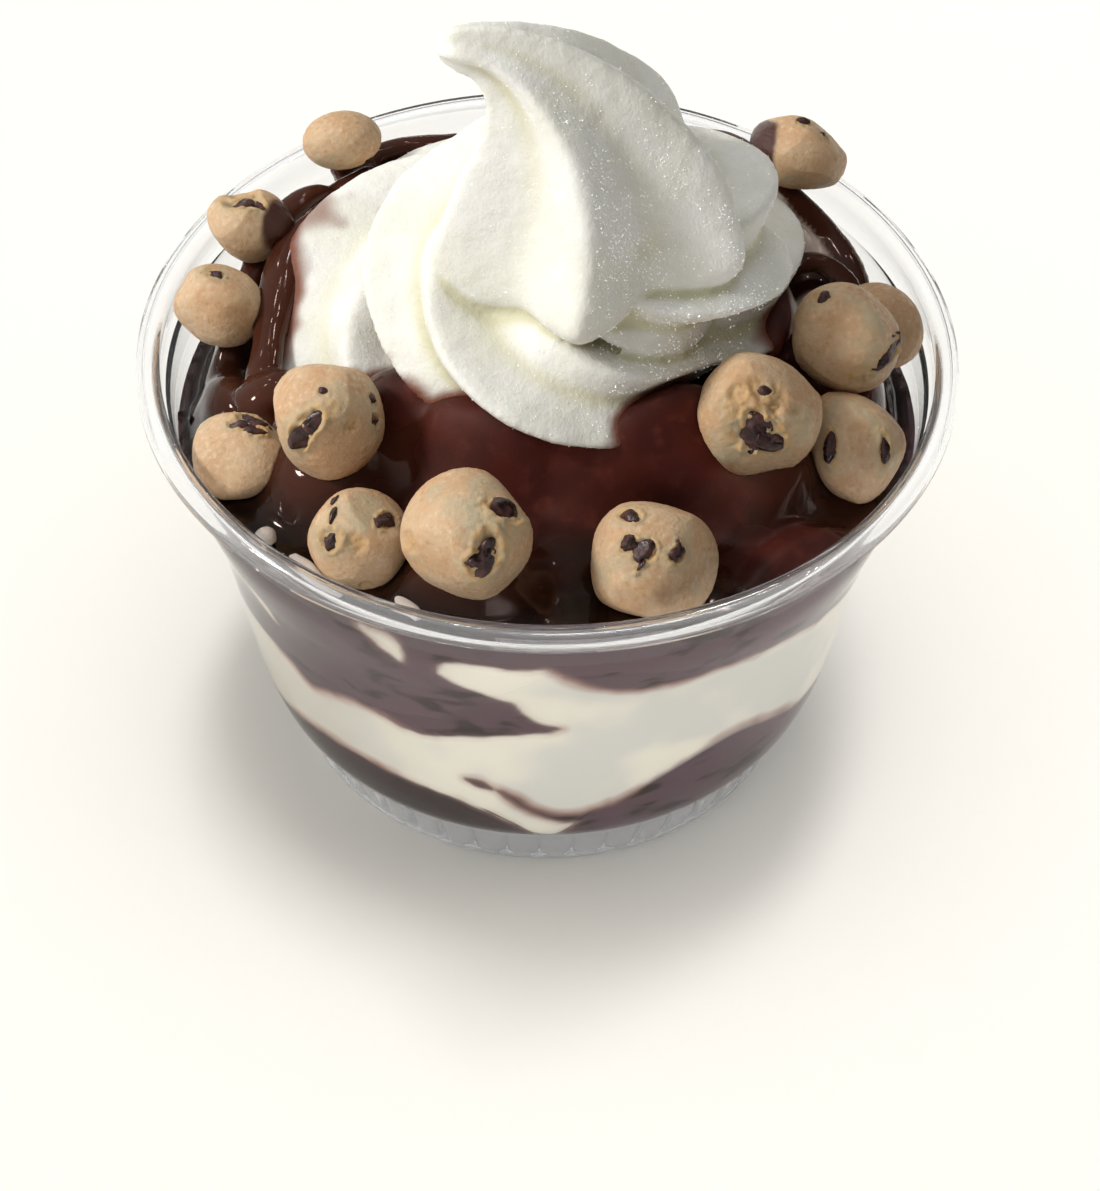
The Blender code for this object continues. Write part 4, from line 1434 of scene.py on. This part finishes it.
dough = {name: dough_ball(name, 11 * i + 1) for i, name in enumerate(BALLS)}
print("balls:", len(dough), "of", len(next(iter(dough.values())).data.polygons), "triangles")

# %% [markdown]
# The chips are pieces of their own, broken from bigger lumps: solids with a few flats, edges a little rounded
# by melting, and a rough dark face. They are sunk so that only their outer face shows. All of them make one
# joined mesh, as they are one kind of thing.

# %% Chips
CHIP_FLATS = 9


def chip(name, ball, mark, seed):
    """A broken chip of chocolate, sunk in its ball at a mark."""
    right, up, long, wide, turn = mark
    middle, radius = ball_place(name)
    piece = started_from(bpy.ops.mesh.primitive_ico_sphere_add, "chip", subdivisions=4, radius=1)
    ways = unit(points_of(piece))
    distances = np.random.default_rng(seed + 9).uniform(0.72, 1.0, CHIP_FLATS)
    reach = rounded_flats(ways, random_ways(seed, CHIP_FLATS), distances, 16)
    reach = np.clip(reach, 0.5, 1.35) + 0.10 * noise_at(ways, 0.5, seed)
    reach += 0.05 * noise_at(ways, 0.2, seed + 1) + 0.03 * noise_at(ways, 0.09, seed + 2)
    out, side, rise = axes_on_view(right, up)
    c, s = cos_sin(turn)
    along, across = side * c + rise * s, rise * c - side * s
    shape = ways * reach[:, None]
    thick = min(long, wide) * 0.8
    local = (
        np.outer(shape[:, 0] * long * 0.98, along) + np.outer(shape[:, 1] * wide * 0.98, across)
        + np.outer(shape[:, 2] * thick, out)
    )
    # The ball's own surface under the mark tells how deep the chip sits
    points = points_of(ball) - np.array(middle)
    near = points @ out / np.linalg.norm(points, axis=1) > math.cos(max(long, wide) * 1.1)
    surface = (points[near] @ out).mean() / radius
    seat = out * (surface + 0.045 - thick * 0.80)
    move_points(piece, np.array(middle) + (local + seat) * radius)
    return piece


chips = joined("chocolate_chips", [
    chip(name, dough[name], mark, 7 * i + 5 * k + 2)
    for i, name in enumerate(BALLS)
    for k, mark in enumerate(CHIPS.get(short_name(name), []))
])
smooth_by_angle(chips, 35)

# %% Finish of the chips
CHIP_DARK, CHIP_LIGHT = colour(38, 17, 14), colour(78, 44, 42)


def make_chips():
    material, shader = new_finish("chocolate_chip", IOR=1.47)
    clouds = grain(material, 1.1 * MM, detail=4)
    brown = blend_colours(material, ramp(material, clouds, 0.35, 0.7), CHIP_DARK, CHIP_LIGHT)
    link(material, brown, shader, "Base Color")
    link(material, ramp(material, clouds, 0.35, 0.65, 0.24, 0.52), shader, "Roughness")
    relief(material, shader, grain(material, 0.35 * MM, detail=4), 0.08 * MM)
    return material


finish_piece(chips, make_chips(), "fudge")

# %% [markdown]
# Dough is tan, speckled with sugar and flour, and paler where cream has soaked in round the chips. Where a
# ball touches fudge, or has been dipped in it, the colour turns brown and the surface wet.

# %% Finish of the dough
# Where fudge covers a ball, as (x, y, z, reach), in mm
GLAZED = {
    "rear_left": (30, 33, 60, 4.2),
    "rear_right": (25.5, 30.5, 62.5, 4.6),
    "left_upper": (-32.6, 17.0, 61.0, 3.4),
}
TAN_DEEP, TAN_LIGHT = colour(196, 158, 120), colour(202, 172, 138)
SUGAR, FLECK, MILKY = colour(222, 196, 164), colour(178, 134, 92), colour(178, 168, 140)
CRUMB, UNDER_FUDGE = colour(196, 158, 108), colour(70, 34, 24)


def make_dough():
    material, shader = new_finish(
        "cookie_dough", IOR=1.42,
        Subsurface_Weight=0.12, Subsurface_Radius=(1.6 * MM, 0.9 * MM, 0.5 * MM), Subsurface_Scale=1.0,
    )
    patches, fine = grain(material, 4.5 * MM, detail=3), grain(material, 0.7 * MM, detail=4)
    tan = blend_colours(material, ramp(material, patches, 0.36, 0.64), TAN_DEEP, TAN_LIGHT)
    speckled = blend_colours(material, ramp(material, fine, 0.50, 0.78, 0.0, 0.6), tan, SUGAR)
    dotted = blend_colours(material, ramp(material, fine, 0.44, 0.24, 0.0, 0.7), speckled, FLECK)
    washed = ramp(material, grain(material, 7 * MM, detail=2), 0.56, 0.72)
    pale = product(material, larger(material, painted(material, "milk"), washed), 0.75)
    milky = blend_colours(material, pale, dotted, MILKY)
    torn = product(material, painted(material, "crumb"), ramp(material, fine, 0.35, 0.6))
    crumbs = blend_colours(material, torn, milky, CRUMB)
    glazed = blend_colours(material, painted(material, "stain"), crumbs, UNDER_FUDGE)
    link(material, glazed, shader, "Base Color")
    dull = ramp(material, fine, 0.40, 0.64, 0.62, 0.36)
    link(material, ramp(material, painted(material, "stain"), 0.4, 0.9, dull, 0.14), shader, "Roughness")
    under = relief(material, shader, grain(material, 1.3 * MM, detail=3), 0.12 * MM)
    relief(material, shader, grain(material, 0.34 * MM, detail=4, roughness=0.7), 0.11 * MM, under)
    return material


def paint_glaze(ball, short):
    """Paints where the ball touches fudge or is covered by it."""
    points = points_of(ball)
    away = away_from_fudge(points, 3 * MM) * (1 + 0.8 * noise_at(points, 1.5 * MM, 4))
    stain = 0.85 * (1 - smooth_step(0.0, 0.35 * MM, away))
    if short in GLAZED:
        *middle, reach = GLAZED[short]
        spot = np.linalg.norm(points / MM - middle, axis=1) / reach * (1 + 0.3 * noise_at(points, 3 * MM, 6))
        stain = np.maximum(stain, 1 - smooth_step(0.75, 1.0, spot))
    paint(ball, "stain", stain)


cookie_dough = make_dough()
for name, ball in dough.items():
    paint_glaze(ball, short_name(name))
    finish_piece(ball, cookie_dough, "dough", name)

# %% [markdown]
# ## Frost on the soft serve
# Ice crystals stand out of soft serve as it warms, and each one that faces a lamp flashes. They are real
# little solids here, thickest on the faces turned away from the warm light, and all joined in one mesh. Their
# finish also glows a little, a painted sparkle that keeps them white in the shade.

# %% Ice crystals
CRYSTALS = 6500
CRYSTAL_SIZES = (0.03 * MM, 0.10 * MM)
CRYSTAL_STRAY = 0.22 * MM
FROST_FACES = np.array([0.62, -0.62, 0.25])
DOLLOP_AXIS = np.array([4.0 * MM, 1.0 * MM])
# Where frost lies thickest, as (heading round the dollop, its spread, height, its spread, share)
FROST = [
    (289, 9, 87, 10, 1.0), (300, 14, 78, 8, 0.35), (334, 5, 82, 10, 0.9), (318, 40, 68, 5, 0.35),
    (250, 60, 90, 12, 0.10),
]
# An eight-sided grain, a little longer than wide
GRAIN_CORNERS = np.array([(1, 0, 0), (-1, 0, 0), (0, 1, 0), (0, -1, 0), (0, 0, 1.4), (0, 0, -1.4)])
GRAIN_FACES = np.array([
    (0, 2, 4), (2, 1, 4), (1, 3, 4), (3, 0, 4), (2, 0, 5), (1, 2, 5), (3, 1, 5), (0, 3, 5),
])


def painted_values(piece, name):
    values = np.empty(len(piece.data.vertices), np.float32)
    piece.data.attributes[name].data.foreach_get("value", values)
    return values


def frost_weight(host, points, normals):
    """How likely a crystal is at each point of the host."""
    facing = np.clip(normals @ FROST_FACES + 0.2, 0, 1)
    away = points[:, :2] - DOLLOP_AXIS
    headings = np.degrees(np.arctan2(away[:, 1], away[:, 0])) % 360
    heights = points[:, 2] / MM
    patches = sum(
        share * np.exp(-((degrees_apart(headings, turn) / wide) ** 2) - ((heights - height) / tall) ** 2)
        for turn, wide, height, tall, share in FROST
    )
    patches *= smooth_step(-0.25, 0.35, noise_at(points, 2.2 * MM, 12))
    unstained = 1 - smooth_step(0.0, 0.3, painted_values(host, "stain"))
    return (0.006 + facing * patches) * unstained * (points[:, 2] > 56 * MM)


def scattered_crystals(name, host, seed):
    draw = np.random.default_rng(seed)
    points, normals = points_of(host), normals_of(host)
    weight = frost_weight(host, points, normals)
    chosen = draw.choice(len(points), CRYSTALS, replace=False, p=weight / weight.sum())
    sizes = CRYSTAL_SIZES[0] + (CRYSTAL_SIZES[1] - CRYSTAL_SIZES[0]) * draw.random(CRYSTALS) ** 3
    all_points, all_faces = [], []
    for k, (at, size) in enumerate(zip(chosen, sizes)):
        turn = Vector(draw.normal(size=3)).to_track_quat("Z", "X").to_matrix()
        stray = draw.normal(size=3) * CRYSTAL_STRAY
        stray -= normals[at] * (stray @ normals[at])
        middle = points[at] + stray + normals[at] * size * 0.3
        all_points.append(middle + (GRAIN_CORNERS * size) @ np.array(turn).T)
        all_faces.append(GRAIN_FACES + len(GRAIN_CORNERS) * k)
    mesh = bpy.data.meshes.new(name)
    mesh.from_pydata(np.concatenate(all_points).tolist(), [], np.concatenate(all_faces).tolist())
    piece = bpy.data.objects.new(name, mesh)
    bpy.context.scene.collection.objects.link(piece)
    return piece


def make_glowing_ice():
    # Painted sparkle: the crystals glow a little with no lamp on them
    material, shader = new_finish(
        "ice", Roughness=0.10, IOR=1.45, Emission_Color=(1, 1, 0.97, 1), Emission_Strength=0.35
    )
    frost = ramp(material, grain(material, 0.6 * MM), 0.3, 0.7)
    white = blend_colours(material, frost, colour(226, 230, 224), colour(250, 250, 246))
    link(material, white, shader, "Base Color")
    return material


ice_crystals = scattered_crystals("ice_crystals", swirl, 4)
finish_piece(ice_crystals, make_glowing_ice(), "soft_serve")

# %% [markdown]
# ## Melted cream
# Where soft serve has melted it runs between the balls in pale drops and trails. They are small strands like
# those of the fudge, given one skin.

# %% Melted cream
# Places of (x, y, z, radius), in mm
MELTED = {
    "bead": [
        (-33.2, -27.4, 51.4, 0.7), (-32.6, -27.8, 51.9, 1.4), (-32.0, -28.3, 51.9, 1.4),
        (-31.4, -28.8, 51.4, 0.7),
    ],
    "trail": [
        (-29.0, -30.6, 51.4, 0.6), (-27.6, -33.0, 51.8, 1.3), (-25.6, -35.4, 51.7, 1.0),
        (-23.0, -37.4, 51.4, 0.5),
    ],
    "drip": [
        (-16.6, -36.0, 51.2, 0.5), (-16.0, -37.6, 51.4, 1.0), (-14.9, -39.2, 51.4, 1.0),
        (-14.0, -40.6, 51.1, 0.6),
    ],
}
MELTED_VOXEL = 0.18 * MM
drops = joined("melted_cream", [strand(name, places) for name, places in MELTED.items()])
melted = remeshed(drops, MELTED_VOXEL, smoothing=4)
paint(melted, "hollow", np.zeros(len(melted.data.vertices)))
paint(melted, "stain", 0.42 + 0.25 * noise_at(points_of(melted), 3 * MM, 3))
smooth_by_angle(melted)
finish_piece(melted, soft_serve, "soft_serve")

# %% [markdown]
# ## Sizes
# The last step gathers the size of the solids and of the dressed sundae, and prints how far each reaches.

# %% Sizes and finish
sizes = {"cad": [list(corner) for corner in solid_box], "visual": [list(corner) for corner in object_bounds()]}
for name, box in sizes.items():
    print(name, "reaches", [round(value / MM, 1) for value in box[1]], "mm")
